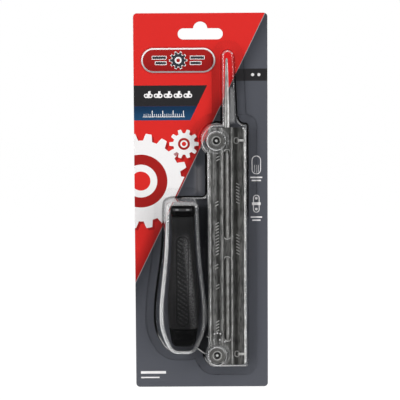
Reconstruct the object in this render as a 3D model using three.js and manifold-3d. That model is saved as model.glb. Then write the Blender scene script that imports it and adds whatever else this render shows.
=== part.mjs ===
// A hang pack of chainsaw sharpening tools: a steel file guide with its round file, and a file handle,
// under one clear blister on a printed card.
// Millimetres, +Z up, printed face towards -Y. The origin is the top of the hang slot, at the card's back.

import * as THREE from 'three';
import { mergeVertices } from 'three/addons/utils/BufferGeometryUtils.js';
import Module from 'manifold-3d';

const wasm = await Module();
wasm.setup();

// Card
const cardWidth = 103;
const cardThickness = 0.6;
const cardCorner = 3;
const cardTopAboveSlot = 6.6;
const cardFootMargin = 16.9;
const slotWidth = 34.4;
const slotBarHeight = 8.4;
const slotBarDrop = 5.1;
const slotBumpRadius = 5.4;

// Round file, right of the card's middle, its tang's tip below the slot
const fileX = 20;
const fileRadius = 2.4;
const fileBodyLength = 200;
const fileTangLength = 36;
const fileTangTipDrop = 28;
const fileTangTipRadius = 0.9;
const fileTangRootRadius = 2.1;
const fileTangShoulder = 3;
const fileEndChamfer = 0.4;

// Guide plate
const fileAbovePlate = 17;
const plateBelowFile = 0.5;
const plateCorner = 3;
const plateThickness = 1.2;
const channelHalfWidth = 3.4;
const channelRise = 1.35;
const leftLipWidth = 1.2;
const leftLipRise = 0.9;
const rightLipWidth = 0.9;
const rightLipRise = 0.7;
const fileSlotWidth = 4.6;
const slotEndMargin = 17;
const slotFootMargin = 18.7;
const upperSlotLength = 68.5;
const slotBridgeLength = 13.9;
const markWidth = 0.5;
const markDepth = 0.3;
const markAngle = 30;
const markLength = 7;

// Clamps
const upperClampMargin = 10;
const lowerClampMargin = 8.2;
const strapThickness = 1.4;
const strapWidth = 9;
const strapStandOff = 0.4;
const strapEndMargin = 5;
const saddleDepth = 0.4;
const hookLegWidth = 3;
const hookGap = 3.6;
const hookSlotGap = 0.4;
const hookSlotSpare = 1.2;
const hookSlotCorner = 1.2;
const tongueLength = 6;
const tongueWidth = 1.8;
const tongueTipWidth = 1.4;
const tongueThickness = 1.2;
const tongueLipGap = 0.5;
const studRadius = 2;
const studShoulderRadius = 3.2;
const studShoulderHeight = 0.8;
const studTailRadius = 1.5;
const studTopBelowNut = 0.85;
const studChamfer = 0.5;
const washerRadius = 4.3;
const washerThickness = 0.8;
const washerChannelGap = 0.5;
const washerLipGap = 0.9;
const nutCollarRadius = 4.2;
const nutCollarHeight = 1.6;
const nutRadius = 6.2;
const nutHeadHeight = 4.4;
const nutChamfer = 0.5;
const nutCounterbore = 2.9;
const nutCounterboreDepth = 0.9;
const nutTravel = 2.1;
const knurlCount = 36;
const knurlDepth = 0.4;

// Handle
const handleX = -14;
const handleTopBelowPlate = 58.7;
const handleLength = 108.8;
const handleHalfWidth = 12;
const handleHalfDepth = 11;
const collarLength = 8.6;
const collarInset = 2.5;
const collarRound = 2.6;
const buttLength = 14;
const buttGrooveDepth = 0.5;
const tangBoreClearance = 1;
const tangBoreSpare = 9;
const spineWall = 1.9;
const gripSquareness = 3.4;

// Blister, whose bubbles follow what they hold
const blisterWall = 0.45;
const sealGap = 0.05;
const flangeWidth = 7.2;
const roofRound = 2;
const guideBubbleLeftMargin = 1.4;
const guideBubbleRightMargin = 1.6;
const guideBubbleTopMargin = 2.9;
const guideBubbleFootMargin = 2;
const guideBubbleHeadroom = 2.1;
const guideBubbleCorner = 1.6;
const guideBubbleCornerSpread = 3.4;
const guideBubbleNutCorner = 5;
const guideBubbleDraft = 0.9;
const tangBubbleTopMargin = 6.5;
const tangBubbleTopShift = 0.8;
const tangBubbleFootShift = 2.1;
const tangBubbleTopRadius = 5;
const tangBubbleFootRadius = 6.3;
const tangBubbleFillet = 5.6;
const upperStepRadius = 13.3;
const upperStepShift = 0.8;
const upperStepLift = 1;
const lowerStepRadius = 10.4;
const stepDraft = 2;
const domeBaseMargin = 2.8;
const domeRoofMargin = 1.7;
const domeHeadroom = 0.4;
const handleBubbleShift = 1.6;
const handleBubbleRoofShift = 0.2;
const handleBubbleTopMargin = 5;
const handleBubbleFootMargin = 6.5;
const handleBubbleSideMargin = 8.9;
const handleBubbleRoofMargin = 5.4;
const handleBubbleHeadroom = 2.3;
const handleBubbleEndDraft = 2;
const bridgeTopMargin = 0.2;
const bridgeFootLeftRise = 11.6;
const bridgeFootRightMargin = 2.2;
const bridgeFillet = 3.5;
const bridgeHeight = 5;

// Fits
const seatGap = 0.05;
const runningGap = 0.3;
const overrun = 2;
const leastSpacing = 0.025;

// Shares of the grip's length from its top, and of the handle's largest half width
const gripShares = [
  [0, 0.735], [0.023, 0.75], [0.125, 0.725], [0.252, 0.745], [0.392, 0.8], [0.519, 0.875],
  [0.633, 0.955], [0.735, 0.995], [0.837, 1], [0.926, 0.975], [1, 0.925],
];
// Shares of the butt's length from its top, and of the handle's largest half width
const buttShares = [
  [0, 0.915], [0.223, 0.88], [0.456, 0.84], [0.689, 0.785], [0.883, 0.7], [1, 0.58],
];
// Shares of the handle bubble's length from its top, of its half width at the card, and of its
// half width at the roof
const bubbleShares = [
  [0, 0.34, 0.45], [0.003, 0.43, 0.55], [0.012, 0.55, 0.63], [0.025, 0.62, 0.685], [0.04, 0.64, 0.705],
  [0.07, 0.66, 0.71], [0.18, 0.67, 0.735], [0.3, 0.705, 0.77], [0.43, 0.785, 0.835], [0.56, 0.9, 0.925],
  [0.68, 0.98, 0.995], [0.8, 1, 0.985], [0.88, 0.91, 0.865], [0.94, 0.73, 0.705], [0.982, 0.51, 0.49],
  [1, 0.22, 0.3],
];
// Shares of the plate's length from its top, where the angle marks lie
const markShares = [0.3, 0.5, 0.7];
// A round edge is drawn in two steps, which meet at this share of its radius
const roundStepShare = 0.3;
const leastCornerShare = 0.25;

// Heights above the card's printed face
const strapTop = strapStandOff + strapThickness;
const fileHeight = strapTop - saddleDepth + seatGap + fileRadius;
const channelFloor = fileHeight + fileRadius + seatGap;
const wingFloor = channelFloor - channelRise;
const wingTop = wingFloor + plateThickness;
const channelRoof = wingTop + channelRise;
const washerFloor = wingTop + seatGap;
const nutFloor = washerFloor + washerThickness + seatGap;
const nutHeadFloor = nutFloor + nutCollarHeight;
const nutTop = nutHeadFloor + nutHeadHeight;
const studTop = nutTop - studTopBelowNut;
const handleHeight = handleHalfDepth + runningGap;
const guideBubbleHeight = channelRoof + guideBubbleHeadroom;
const domeHeight = nutTop + nutTravel + domeHeadroom + blisterWall;
const handleBubbleHeight = handleHeight + handleHalfDepth + handleBubbleHeadroom;

// Places across the card
const clampX = fileX - channelHalfWidth - washerChannelGap - washerRadius;
const plateLeft = clampX - washerRadius - washerLipGap - leftLipWidth;
const hookX = fileX + channelHalfWidth + hookGap;
const tongueTipX = hookX + tongueLength;
const plateRight = tongueTipX + tongueLipGap + rightLipWidth;
const guideBubbleLeft = plateLeft - guideBubbleLeftMargin;
const guideBubbleRight = plateRight + guideBubbleRightMargin;
const handleBubbleX = handleX - handleBubbleShift;

// Places up the card
const fileShoulderY = -fileTangTipDrop - fileTangLength;
const fileFootY = fileShoulderY - fileBodyLength;
const plateTop = fileShoulderY - fileAbovePlate;
const plateBottom = fileFootY - plateBelowFile;
const upperClampY = plateTop - upperClampMargin;
const lowerClampY = plateBottom + lowerClampMargin;
const upperSlotTop = plateTop - slotEndMargin;
const upperSlotBottom = upperSlotTop - upperSlotLength;
const lowerSlotTop = upperSlotBottom - slotBridgeLength;
const lowerSlotBottom = plateBottom + slotFootMargin;
const handleTop = plateTop - handleTopBelowPlate;
const handleBottom = handleTop - handleLength;
const collarFoot = handleTop - collarLength;
const buttTop = handleBottom + buttLength;
const gripTop = collarFoot - runningGap;
const gripFoot = buttTop + runningGap;
const guideBubbleTop = plateTop + guideBubbleTopMargin;
const guideBubbleBottom = plateBottom - guideBubbleFootMargin;
const handleBubbleTop = handleTop + handleBubbleTopMargin;
const handleBubbleBottom = handleBottom - handleBubbleFootMargin;
const bridgeTop = handleBubbleTop + bridgeTopMargin;
const bridgeFootLeft = handleBubbleBottom + bridgeFootLeftRise;
const bridgeFootRight = guideBubbleBottom + bridgeFootRightMargin;
const cardFoot = Math.min(guideBubbleBottom, handleBubbleBottom) - cardFootMargin;

const handleDepthShare = handleHalfDepth / handleHalfWidth;
const collarHalfWidth = handleHalfWidth - collarInset;
const tangBoreRadius = fileTangRootRadius + tangBoreClearance;
const tangBoreDepth = fileTangLength + tangBoreSpare;
const spineRadius = tangBoreRadius + spineWall;

const roundSteps = 24;
const cornerSteps = 4;
const sectionSteps = 28;

function finish(color, roughness, metalness = 0) {
  return new THREE.MeshStandardMaterial({ color, roughness, metalness });
}

const boardFinish = finish(0x4c4d54, 0.5);
const clearFinish = finish(0xdfe6ea, 0.1);
clearFinish.transparent = true;
clearFinish.opacity = 0.3;
const plateFinish = finish(0x55534f, 0.4, 0.9);
const fileFinish = finish(0x7d7873, 0.45, 0.9);
const clampFinish = finish(0x9a9894, 0.35, 0.9);
const hardPlasticFinish = finish(0x151516, 0.25);
const gripFinish = finish(0x1e1e1f, 0.6);

// Closed geometry to a solid: only positions are kept, and shared corners become one
function toSolid(geometry) {
  const bare = new THREE.BufferGeometry();
  bare.setAttribute('position', geometry.getAttribute('position'));
  if (geometry.index) bare.setIndex(geometry.index);
  const merged = mergeVertices(bare);
  return new wasm.Manifold(new wasm.Mesh({
    numProp: 3,
    vertProperties: new Float32Array(merged.getAttribute('position').array),
    triVerts: new Uint32Array(merged.index.array),
  }));
}

function toGeometry(solid) {
  const { vertProperties, triVerts } = solid.getMesh();
  const geometry = new THREE.BufferGeometry();
  geometry.setAttribute('position', new THREE.BufferAttribute(vertProperties, 3));
  geometry.setIndex(new THREE.BufferAttribute(triVerts, 1));
  return geometry;
}

function joined(solids) {
  return solids.reduce((sum, solid) => sum.add(solid));
}

function named(name, geometry, material) {
  const mesh = new THREE.Mesh(geometry, material);
  mesh.name = name;
  return mesh;
}

// A flat outline drawn out along +Z between two heights
function prism(shape, low, high, curveSegments = cornerSteps) {
  const geometry = new THREE.ExtrudeGeometry(shape, {
    depth: high - low, bevelEnabled: false, curveSegments,
  });
  return geometry.translate(0, 0, low);
}

// A section in X and height, drawn out along the card's Y between two places
function bar(section, low, high) {
  const geometry = new THREE.ExtrudeGeometry(section, {
    depth: high - low, bevelEnabled: false, curveSegments: cornerSteps * 2,
  });
  return geometry.rotateX(Math.PI / 2).translate(0, high, 0);
}

// A skin through rings of equal count, each running anticlockwise round the way the rings advance.
// A looped skin joins its last ring to its first, and an open one is capped at both ends
function loft(rings, looped = false) {
  const count = rings[0].length;
  const positions = rings.flat().flatMap((point) => [point.x, point.y, point.z]);
  const index = [];
  const bands = looped ? rings.length : rings.length - 1;
  for (let band = 0; band < bands; band += 1) {
    const low = band * count;
    const high = ((band + 1) % rings.length) * count;
    for (let step = 0; step < count; step += 1) {
      const next = (step + 1) % count;
      index.push(low + step, low + next, high + next, low + step, high + next, high + step);
    }
  }
  if (!looped) {
    const last = rings.length - 1;
    [[rings[0], 0, true], [rings[last], last * count, false]].forEach(([ring, start, low]) => {
      const middle = ring.reduce((sum, point) => sum.add(point), new THREE.Vector3()).divideScalar(count);
      const centre = positions.length / 3;
      positions.push(middle.x, middle.y, middle.z);
      for (let step = 0; step < count; step += 1) {
        const next = (step + 1) % count;
        index.push(centre, start + (low ? next : step), start + (low ? step : next));
      }
    });
  }
  const geometry = new THREE.BufferGeometry();
  geometry.setAttribute('position', new THREE.Float32BufferAttribute(positions, 3));
  geometry.setIndex(index);
  return geometry;
}

// A turned piece whose axis stands on the card's face
function turned(profile) {
  const points = profile.map(([radius, height]) => new THREE.Vector2(radius, height));
  return new THREE.LatheGeometry(points, roundSteps).rotateX(Math.PI / 2);
}

function roundedRectangle(left, right, bottom, top, radius, leftRadius = radius) {
  const shape = new THREE.Shape();
  shape.moveTo(left + leftRadius, bottom);
  shape.lineTo(right - radius, bottom);
  shape.absarc(right - radius, bottom + radius, radius, -Math.PI / 2, 0);
  shape.lineTo(right, top - radius);
  shape.absarc(right - radius, top - radius, radius, 0, Math.PI / 2);
  shape.lineTo(left + leftRadius, top);
  shape.absarc(left + leftRadius, top - leftRadius, leftRadius, Math.PI / 2, Math.PI);
  shape.lineTo(left, bottom + leftRadius);
  shape.absarc(left + leftRadius, bottom + leftRadius, leftRadius, Math.PI, Math.PI * 1.5);
  return shape;
}

// Two half circles, the upper round one centre and the lower round another
function taperedSlot(topX, topY, topRadius, footX, footY, footRadius) {
  const shape = new THREE.Shape();
  shape.absarc(topX, topY, topRadius, 0, Math.PI);
  shape.absarc(footX, footY, footRadius, Math.PI, Math.PI * 2);
  return shape;
}

function circle(x, y, radius) {
  const shape = new THREE.Shape();
  shape.absarc(x, y, radius, 0, Math.PI * 2);
  return shape;
}

// The card, cut with a bar that has round ends and a round bump above its middle
function backingCard() {
  const half = cardWidth / 2;
  const shape = roundedRectangle(-half, half, cardFoot, cardTopAboveSlot, cardCorner);
  const endRadius = slotBarHeight / 2;
  const reach = slotWidth / 2 - endRadius;
  const middle = -slotBarDrop - endRadius;
  const lift = Math.asin((slotBumpRadius - slotBarDrop) / slotBumpRadius);
  const hole = new THREE.Path();
  hole.absarc(reach, middle, endRadius, -Math.PI / 2, Math.PI / 2);
  hole.absarc(0, -slotBumpRadius, slotBumpRadius, lift, Math.PI - lift);
  hole.absarc(-reach, middle, endRadius, Math.PI / 2, Math.PI * 1.5);
  shape.holes.push(hole);
  return named('backing_card', prism(shape, -cardThickness, 0, cornerSteps * 2), boardFinish);
}

// Each bubble's outline at a share of its height, drawn in by an inset
const bubbles = {
  guide: {
    height: guideBubbleHeight,
    outline: (rise, inset) => {
      const draw = inset + rise * guideBubbleDraft;
      const corner = guideBubbleCorner + rise * guideBubbleCornerSpread - inset;
      return roundedRectangle(
        guideBubbleLeft + draw, guideBubbleRight - draw, guideBubbleBottom + draw, guideBubbleTop - draw,
        Math.max(corner, guideBubbleCorner * leastCornerShare), guideBubbleNutCorner - inset,
      ).getPoints(cornerSteps);
    },
  },
  tang: {
    height: guideBubbleHeight,
    outline: (rise, inset) => {
      const draw = inset + rise * guideBubbleDraft;
      const topY = tangBubbleTopMargin - tangBubbleTopRadius - fileTangTipDrop;
      const footY = guideBubbleTop - tangBubbleFootRadius;
      return taperedSlot(
        fileX + tangBubbleTopShift, topY, tangBubbleTopRadius - draw,
        fileX + tangBubbleFootShift, footY, tangBubbleFootRadius - draw,
      ).getPoints(cornerSteps * 2);
    },
  },
  upperStep: {
    height: guideBubbleHeight,
    outline: (rise, inset) => stepOutline(
      clampX + upperStepShift * (1 - rise), upperClampY + upperStepLift * (1 - rise),
      upperStepRadius, rise, inset,
    ),
  },
  lowerStep: {
    height: guideBubbleHeight,
    outline: (rise, inset) => stepOutline(clampX, lowerClampY, lowerStepRadius, rise, inset),
  },
  upperDome: {
    height: domeHeight,
    outline: (rise, inset) => domeOutline(upperClampY, rise, inset),
  },
  lowerDome: {
    height: domeHeight,
    outline: (rise, inset) => domeOutline(lowerClampY, rise, inset),
  },
  handle: { height: handleBubbleHeight, outline: handleBubbleOutline },
  bridge: {
    height: bridgeHeight,
    outline: (rise, inset) => [
      new THREE.Vector2(handleBubbleX + inset, bridgeFootLeft + inset),
      new THREE.Vector2(clampX - inset, bridgeFootRight + inset),
      new THREE.Vector2(clampX - inset, bridgeTop - inset),
      new THREE.Vector2(handleBubbleX + inset, bridgeTop - inset),
    ],
  },
};

// The corners between bubbles, filled with round sweeps
const cornerFills = [
  {
    height: guideBubbleHeight,
    draft: guideBubbleDraft,
    radius: tangBubbleFillet,
    corner: new THREE.Vector2(fileX + tangBubbleFootShift + tangBubbleFootRadius, guideBubbleTop),
    way: 1,
  },
  {
    height: bridgeHeight,
    draft: 0,
    radius: bridgeFillet,
    corner: new THREE.Vector2(guideBubbleLeft, bridgeTop),
    way: -1,
  },
];

function stepOutline(x, y, radius, rise, inset) {
  return circle(x, y, radius - rise * stepDraft - inset).getPoints(roundSteps / 2);
}

function domeOutline(y, rise, inset) {
  const radius = nutRadius + THREE.MathUtils.lerp(domeBaseMargin, domeRoofMargin, rise) - inset;
  return circle(clampX, y, radius).getPoints(roundSteps / 2);
}

function handleBubbleOutline(rise, inset) {
  const top = handleBubbleTop - rise * handleBubbleEndDraft - inset;
  const bottom = handleBubbleBottom + rise * handleBubbleEndDraft + inset;
  const rightSide = bubbleShares.map(([along, baseShare, roofShare]) => {
    const base = (handleHalfWidth + handleBubbleSideMargin) * baseShare;
    const roof = (handleHalfWidth + handleBubbleRoofMargin) * roofShare;
    const reach = THREE.MathUtils.lerp(base, roof, rise) - inset;
    return new THREE.Vector2(reach, THREE.MathUtils.lerp(top, bottom, along));
  });
  const leftSide = rightSide.map((point) => new THREE.Vector2(-point.x, point.y));
  const x = THREE.MathUtils.lerp(handleBubbleX, handleX - handleBubbleRoofShift, rise);
  return [...leftSide, ...rightSide.reverse()].map((point) => point.setX(point.x + x));
}

// The same point is never given twice, and every outline runs anticlockwise
function tidyOutline(points) {
  const kept = points.filter((point, place) => {
    const before = points[(place + points.length - 1) % points.length];
    return point.distanceTo(before) > leastSpacing;
  });
  return THREE.ShapeUtils.isClockWise(kept) ? kept.reverse() : kept;
}

function ringAt(outline, height) {
  return tidyOutline(outline).map((point) => new THREE.Vector3(point.x, point.y, height));
}

// A wall's four levels: how far up it is as a share, how much the round edge draws it in, its height
function wallLevels(height, inset, floor) {
  const roof = height - inset;
  const wallTop = roof - roofRound;
  const step = roofRound * roundStepShare;
  const shoulder = roof - step;
  return [
    [0, 0, floor], [wallTop / roof, 0, wallTop], [shoulder / roof, step, shoulder], [1, roofRound, roof],
  ];
}

// A drafted bubble with a rounded roof edge, the outer form or, with an inset, the hollow
function bubbleForm({ height, outline }, inset, floor) {
  return toSolid(loft(wallLevels(height, inset, floor).map(
    ([rise, draw, level]) => ringAt(outline(rise, inset + draw), level),
  )));
}

// A block in the corner of two bubbles' walls, less a round that leans and turns in as they do
function cornerFill({ height, draft, radius, corner, way }, inset, floor) {
  const x = corner.x + way * radius;
  const y = corner.y + radius;
  const ring = (reach, level) => ringAt(circle(x, y, radius + reach).getPoints(cornerSteps * 2), level);
  const rings = wallLevels(height, inset, floor).map(
    ([rise, draw, level]) => ring(inset + draw + rise * draft, level),
  );
  const roof = height - inset;
  const reach = inset + roofRound + draft;
  const round = toSolid(loft([ring(inset, floor - overrun), ...rings, ring(reach, roof + overrun)]));
  const backX = corner.x - way * (reach + overrun);
  const backY = corner.y - reach - overrun;
  const block = new THREE.Shape();
  block.moveTo(backX, backY);
  block.lineTo(x, backY);
  block.lineTo(x, y);
  block.lineTo(backX, y);
  return toSolid(prism(block, floor, roof)).subtract(round);
}

function blister() {
  const forms = Object.values(bubbles);
  const flangeTop = sealGap + blisterWall;
  const flange = forms.filter((form) => form !== bubbles.bridge).map(({ outline }) => toSolid(
    prism(new THREE.Shape(tidyOutline(outline(0, -flangeWidth))), sealGap, flangeTop),
  ));
  const cast = (inset, floor) => [
    ...forms.map((form) => bubbleForm(form, inset, floor)),
    ...cornerFills.map((fill) => cornerFill(fill, inset, floor)),
  ];
  const shell = joined([...flange, ...cast(0, sealGap)])
    .subtract(joined(cast(blisterWall, sealGap - overrun)));
  return named('blister', toGeometry(shell), clearFinish);
}

// The pressed plate's section: two wings with turned-up edges and a raised channel over the file
function plateSection() {
  const left = fileX - channelHalfWidth;
  const right = fileX + channelHalfWidth;
  const slope = channelRise / 2;
  const shape = new THREE.Shape();
  shape.moveTo(plateLeft, wingFloor);
  shape.lineTo(left, wingFloor);
  shape.lineTo(left + slope, channelFloor);
  shape.lineTo(right - slope, channelFloor);
  shape.lineTo(right, wingFloor);
  shape.lineTo(plateRight, wingFloor);
  shape.lineTo(plateRight, wingTop + rightLipRise);
  shape.lineTo(plateRight - rightLipWidth, wingTop + rightLipRise);
  shape.lineTo(plateRight - rightLipWidth, wingTop);
  shape.lineTo(right, wingTop);
  shape.lineTo(right - slope, channelRoof);
  shape.lineTo(left + slope, channelRoof);
  shape.lineTo(left, wingTop);
  shape.lineTo(plateLeft + leftLipWidth, wingTop);
  shape.lineTo(plateLeft + leftLipWidth, wingTop + leftLipRise);
  shape.lineTo(plateLeft, wingTop + leftLipRise);
  return shape;
}

// A shallow groove at the filing angle, cut in a wing's top
function angleMark(x, y, lean) {
  const shape = roundedRectangle(
    -markLength / 2, markLength / 2, -markWidth / 2, markWidth / 2, markWidth / 3,
  );
  const geometry = prism(shape, wingTop - markDepth, wingTop + overrun, 1);
  return toSolid(geometry.rotateZ(THREE.MathUtils.degToRad(lean)).translate(x, y, 0));
}

function guidePlate() {
  const high = channelRoof + overrun;
  const low = wingFloor - overrun;
  const blank = toSolid(bar(plateSection(), plateBottom, plateTop));
  const outline = roundedRectangle(plateLeft, plateRight, plateBottom, plateTop, plateCorner);
  const cuts = [[upperSlotTop, upperSlotBottom], [lowerSlotTop, lowerSlotBottom]].map(([top, bottom]) => {
    const radius = fileSlotWidth / 2;
    const slot = taperedSlot(fileX, top - radius, radius, fileX, bottom + radius, radius);
    return toSolid(prism(slot, low, high, cornerSteps * 2));
  });
  const hookLeft = hookX - hookSlotSpare;
  const hookRight = hookX + tongueThickness + hookSlotGap;
  const hookHalf = hookLegWidth / 2 + hookSlotGap;
  [upperClampY, lowerClampY].forEach((y) => {
    cuts.push(toSolid(prism(circle(clampX, y, studRadius + runningGap), low, high, roundSteps / 2)));
    const slot = roundedRectangle(hookLeft, hookRight, y - hookHalf, y + hookHalf, hookSlotCorner);
    cuts.push(toSolid(prism(slot, low, high)));
  });
  const wingMiddles = [
    (plateLeft + leftLipWidth + fileX - channelHalfWidth) / 2,
    (plateRight - rightLipWidth + fileX + channelHalfWidth) / 2,
  ];
  const markHeights = markShares.map((share) => THREE.MathUtils.lerp(plateTop, plateBottom, share));
  wingMiddles.forEach((x, side) => markHeights.forEach((y) => {
    cuts.push(angleMark(x, y, side === 0 ? markAngle : -markAngle));
  }));
  const plate = blank.intersect(toSolid(prism(outline, low, high))).subtract(joined(cuts));
  return named('guide_plate', toGeometry(plate), plateFinish);
}

// A strap with a round seat for the file, a leg through the plate's slot and a tongue over the wing
function clampStrap(name, y) {
  const left = clampX - strapEndMargin;
  const legRight = hookX + tongueThickness;
  const seatRadius = fileRadius + seatGap;
  const seatTop = fileHeight - strapTop;
  const sweep = Math.acos(seatTop / seatRadius);
  const section = new THREE.Shape();
  section.moveTo(left, strapStandOff);
  section.lineTo(legRight, strapStandOff);
  section.lineTo(legRight, strapTop);
  section.absarc(fileX, fileHeight, seatRadius, -Math.PI / 2 + sweep, -Math.PI / 2 - sweep, true);
  section.lineTo(left, strapTop);
  const tongueFloor = wingTop + seatGap;
  const tongueTop = tongueFloor + tongueThickness;
  const legHalf = hookLegWidth / 2;
  const neckX = legRight + (hookLegWidth - tongueWidth) / 2;
  const leg = roundedRectangle(hookX, legRight, y - legHalf, y + legHalf, hookSlotGap);
  const tongue = new THREE.Shape();
  tongue.moveTo(hookX, y - legHalf);
  tongue.lineTo(legRight, y - legHalf);
  tongue.lineTo(neckX, y - tongueWidth / 2);
  tongue.lineTo(tongueTipX, y - tongueTipWidth / 2);
  tongue.lineTo(tongueTipX, y + tongueTipWidth / 2);
  tongue.lineTo(neckX, y + tongueWidth / 2);
  tongue.lineTo(legRight, y + legHalf);
  tongue.lineTo(hookX, y + legHalf);
  const hole = circle(clampX, y, studTailRadius + runningGap);
  const solid = joined([
    toSolid(bar(section, y - strapWidth / 2, y + strapWidth / 2)),
    toSolid(prism(leg, strapStandOff, tongueTop, 1)),
    toSolid(prism(tongue, tongueFloor, tongueTop)),
  ]).subtract(toSolid(prism(hole, strapStandOff - overrun, strapTop + overrun, roundSteps / 2)));
  return named(name, toGeometry(solid), clampFinish);
}

// The stud's riveted tail fills the strap's hole and its shoulder seats on the strap
function clampStud(name, y) {
  const shoulderFloor = strapTop + seatGap;
  const shoulderTop = shoulderFloor + studShoulderHeight;
  const geometry = turned([
    [0, strapStandOff], [studTailRadius, strapStandOff], [studTailRadius, shoulderFloor],
    [studShoulderRadius, shoulderFloor], [studShoulderRadius, shoulderTop], [studRadius, shoulderTop],
    [studRadius, studTop - studChamfer], [studRadius - studChamfer, studTop], [0, studTop],
  ]);
  return named(name, geometry.translate(clampX, y, 0), clampFinish);
}

function washer(name, y) {
  const hole = studRadius + runningGap;
  const top = washerFloor + washerThickness;
  const geometry = turned([
    [hole, washerFloor], [washerRadius, washerFloor], [washerRadius, top], [hole, top], [hole, washerFloor],
  ]);
  return named(name, geometry.translate(clampX, y, 0), clampFinish);
}

function knurledRing(radius, height) {
  const points = [];
  for (let tooth = 0; tooth < knurlCount * 2; tooth += 1) {
    const angle = (Math.PI * tooth) / knurlCount;
    const reach = tooth % 2 === 0 ? radius : radius - knurlDepth;
    points.push(new THREE.Vector3(reach * Math.cos(angle), reach * Math.sin(angle), height));
  }
  return points;
}

function thumbNut(name, y) {
  const bore = studRadius + runningGap;
  const head = toSolid(loft([
    knurledRing(nutRadius - nutChamfer, nutHeadFloor),
    knurledRing(nutRadius, nutHeadFloor + nutChamfer),
    knurledRing(nutRadius, nutTop - nutChamfer),
    knurledRing(nutRadius - nutChamfer, nutTop),
  ]));
  const collar = toSolid(turned([
    [0, nutFloor], [nutCollarRadius, nutFloor], [nutCollarRadius, nutHeadFloor + nutChamfer],
    [0, nutHeadFloor + nutChamfer],
  ]));
  const hole = toSolid(turned([
    [0, nutFloor - overrun], [bore, nutFloor - overrun], [bore, nutTop - nutCounterboreDepth],
    [nutCounterbore, nutTop], [nutCounterbore, nutTop + overrun], [0, nutTop + overrun],
  ]));
  const geometry = toGeometry(head.add(collar).subtract(hole));
  return named(name, geometry.translate(clampX, y, 0), clampFinish);
}

// The file's axis lies along the card's Y, its tang pointing up
function roundFile() {
  const profile = [
    [0, fileFootY], [fileRadius - fileEndChamfer, fileFootY], [fileRadius, fileFootY + fileEndChamfer],
    [fileRadius, fileShoulderY - fileTangShoulder], [fileTangRootRadius, fileShoulderY],
    [fileTangTipRadius, -fileTangTipDrop - fileTangTipRadius], [0, -fileTangTipDrop],
  ].map(([radius, height]) => new THREE.Vector2(radius, height));
  const geometry = new THREE.LatheGeometry(profile, roundSteps);
  return named('round_file', geometry.translate(fileX, 0, fileHeight), fileFinish);
}

// A rounded square round the handle's axis, which runs along the card's Y
function handleRing(y, halfWidth, halfDepth, squareness) {
  const points = [];
  for (let step = 0; step < sectionSteps; step += 1) {
    const angle = (Math.PI * 2 * step) / sectionSteps;
    const across = Math.sin(angle);
    const out = Math.cos(angle);
    const reach = (Math.abs(across) ** squareness + Math.abs(out) ** squareness) ** (-1 / squareness);
    points.push(new THREE.Vector3(
      handleX + halfWidth * reach * across, y, handleHeight + halfDepth * reach * out,
    ));
  }
  return points;
}

// A ring at a share of the way from a stretch's top to its foot, and a share of the largest half width
function stretchRing([along, share], top, foot, inset = 0) {
  const halfWidth = handleHalfWidth * share - inset;
  const y = THREE.MathUtils.lerp(top, foot, along);
  return handleRing(y, halfWidth, halfWidth * handleDepthShare, gripSquareness);
}

function boreRing(y, radius) {
  return handleRing(y, radius, radius, 2);
}

// The collar, the spine that the grip is moulded round, and the butt, in one piece with the tang's bore
function handleCore() {
  const collarRing = (y, inset) => handleRing(
    y, collarHalfWidth - inset, (collarHalfWidth - inset) * handleDepthShare, gripSquareness,
  );
  const butt = [...buttShares].reverse().map((station, place) => {
    const grooved = place % 2 === 1 && place < buttShares.length - 1;
    return stretchRing(station, buttTop, handleBottom, grooved ? buttGrooveDepth : 0);
  });
  const rings = [
    ...butt,
    boreRing(buttTop, spineRadius),
    boreRing(collarFoot, spineRadius),
    collarRing(collarFoot, 0),
    collarRing(handleTop - collarRound, 0),
    collarRing(handleTop - collarRound * roundStepShare, collarRound * roundStepShare),
    collarRing(handleTop, collarRound),
    boreRing(handleTop, tangBoreRadius),
    boreRing(handleTop - tangBoreDepth, tangBoreRadius),
  ];
  return named('handle_core', loft(rings), hardPlasticFinish);
}

// A sleeve between the collar and the butt, clear of the spine
function handleGrip() {
  const outer = gripShares.map((station) => stretchRing(station, gripTop, gripFoot)).reverse();
  const bore = spineRadius + runningGap;
  const rings = [...outer, boreRing(gripTop, bore), boreRing(gripFoot, bore)];
  return named('handle_grip', loft(rings, true), gripFinish);
}

// Everything is drawn on the card's face: X across, Y up, Z out. The last turn stands the pack upright
const face = new THREE.Group();
face.add(backingCard(), blister(), guidePlate(), roundFile(), handleCore(), handleGrip());
[['upper', upperClampY], ['lower', lowerClampY]].forEach(([place, y]) => {
  const clamp = new THREE.Group();
  clamp.add(
    clampStrap(`clamp_strap_${place}`, y), clampStud(`clamp_stud_${place}`, y),
    washer(`washer_${place}`, y), thumbNut(`thumb_nut_${place}`, y),
  );
  face.add(clamp);
});
face.rotation.x = Math.PI / 2;
face.position.y = -cardThickness;

const pack = new THREE.Group();
pack.add(face);

export default pack;
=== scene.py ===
"""Looks for a hang pack of chainsaw sharpening tools: card, clear blister, file guide, round file, handle.

Shapes are worked out in millimetres on the card's printed face: x across, y up, h out of the face.
The frame is in metres, with +Z up and the printed face towards -Y.
"""

from __future__ import annotations

import functools
import logging
import math
import operator
from dataclasses import dataclass
from enum import Enum
from typing import Iterable, Sequence, Union

import bmesh
import bpy
import numpy as np
from mathutils import Matrix, Vector

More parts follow.
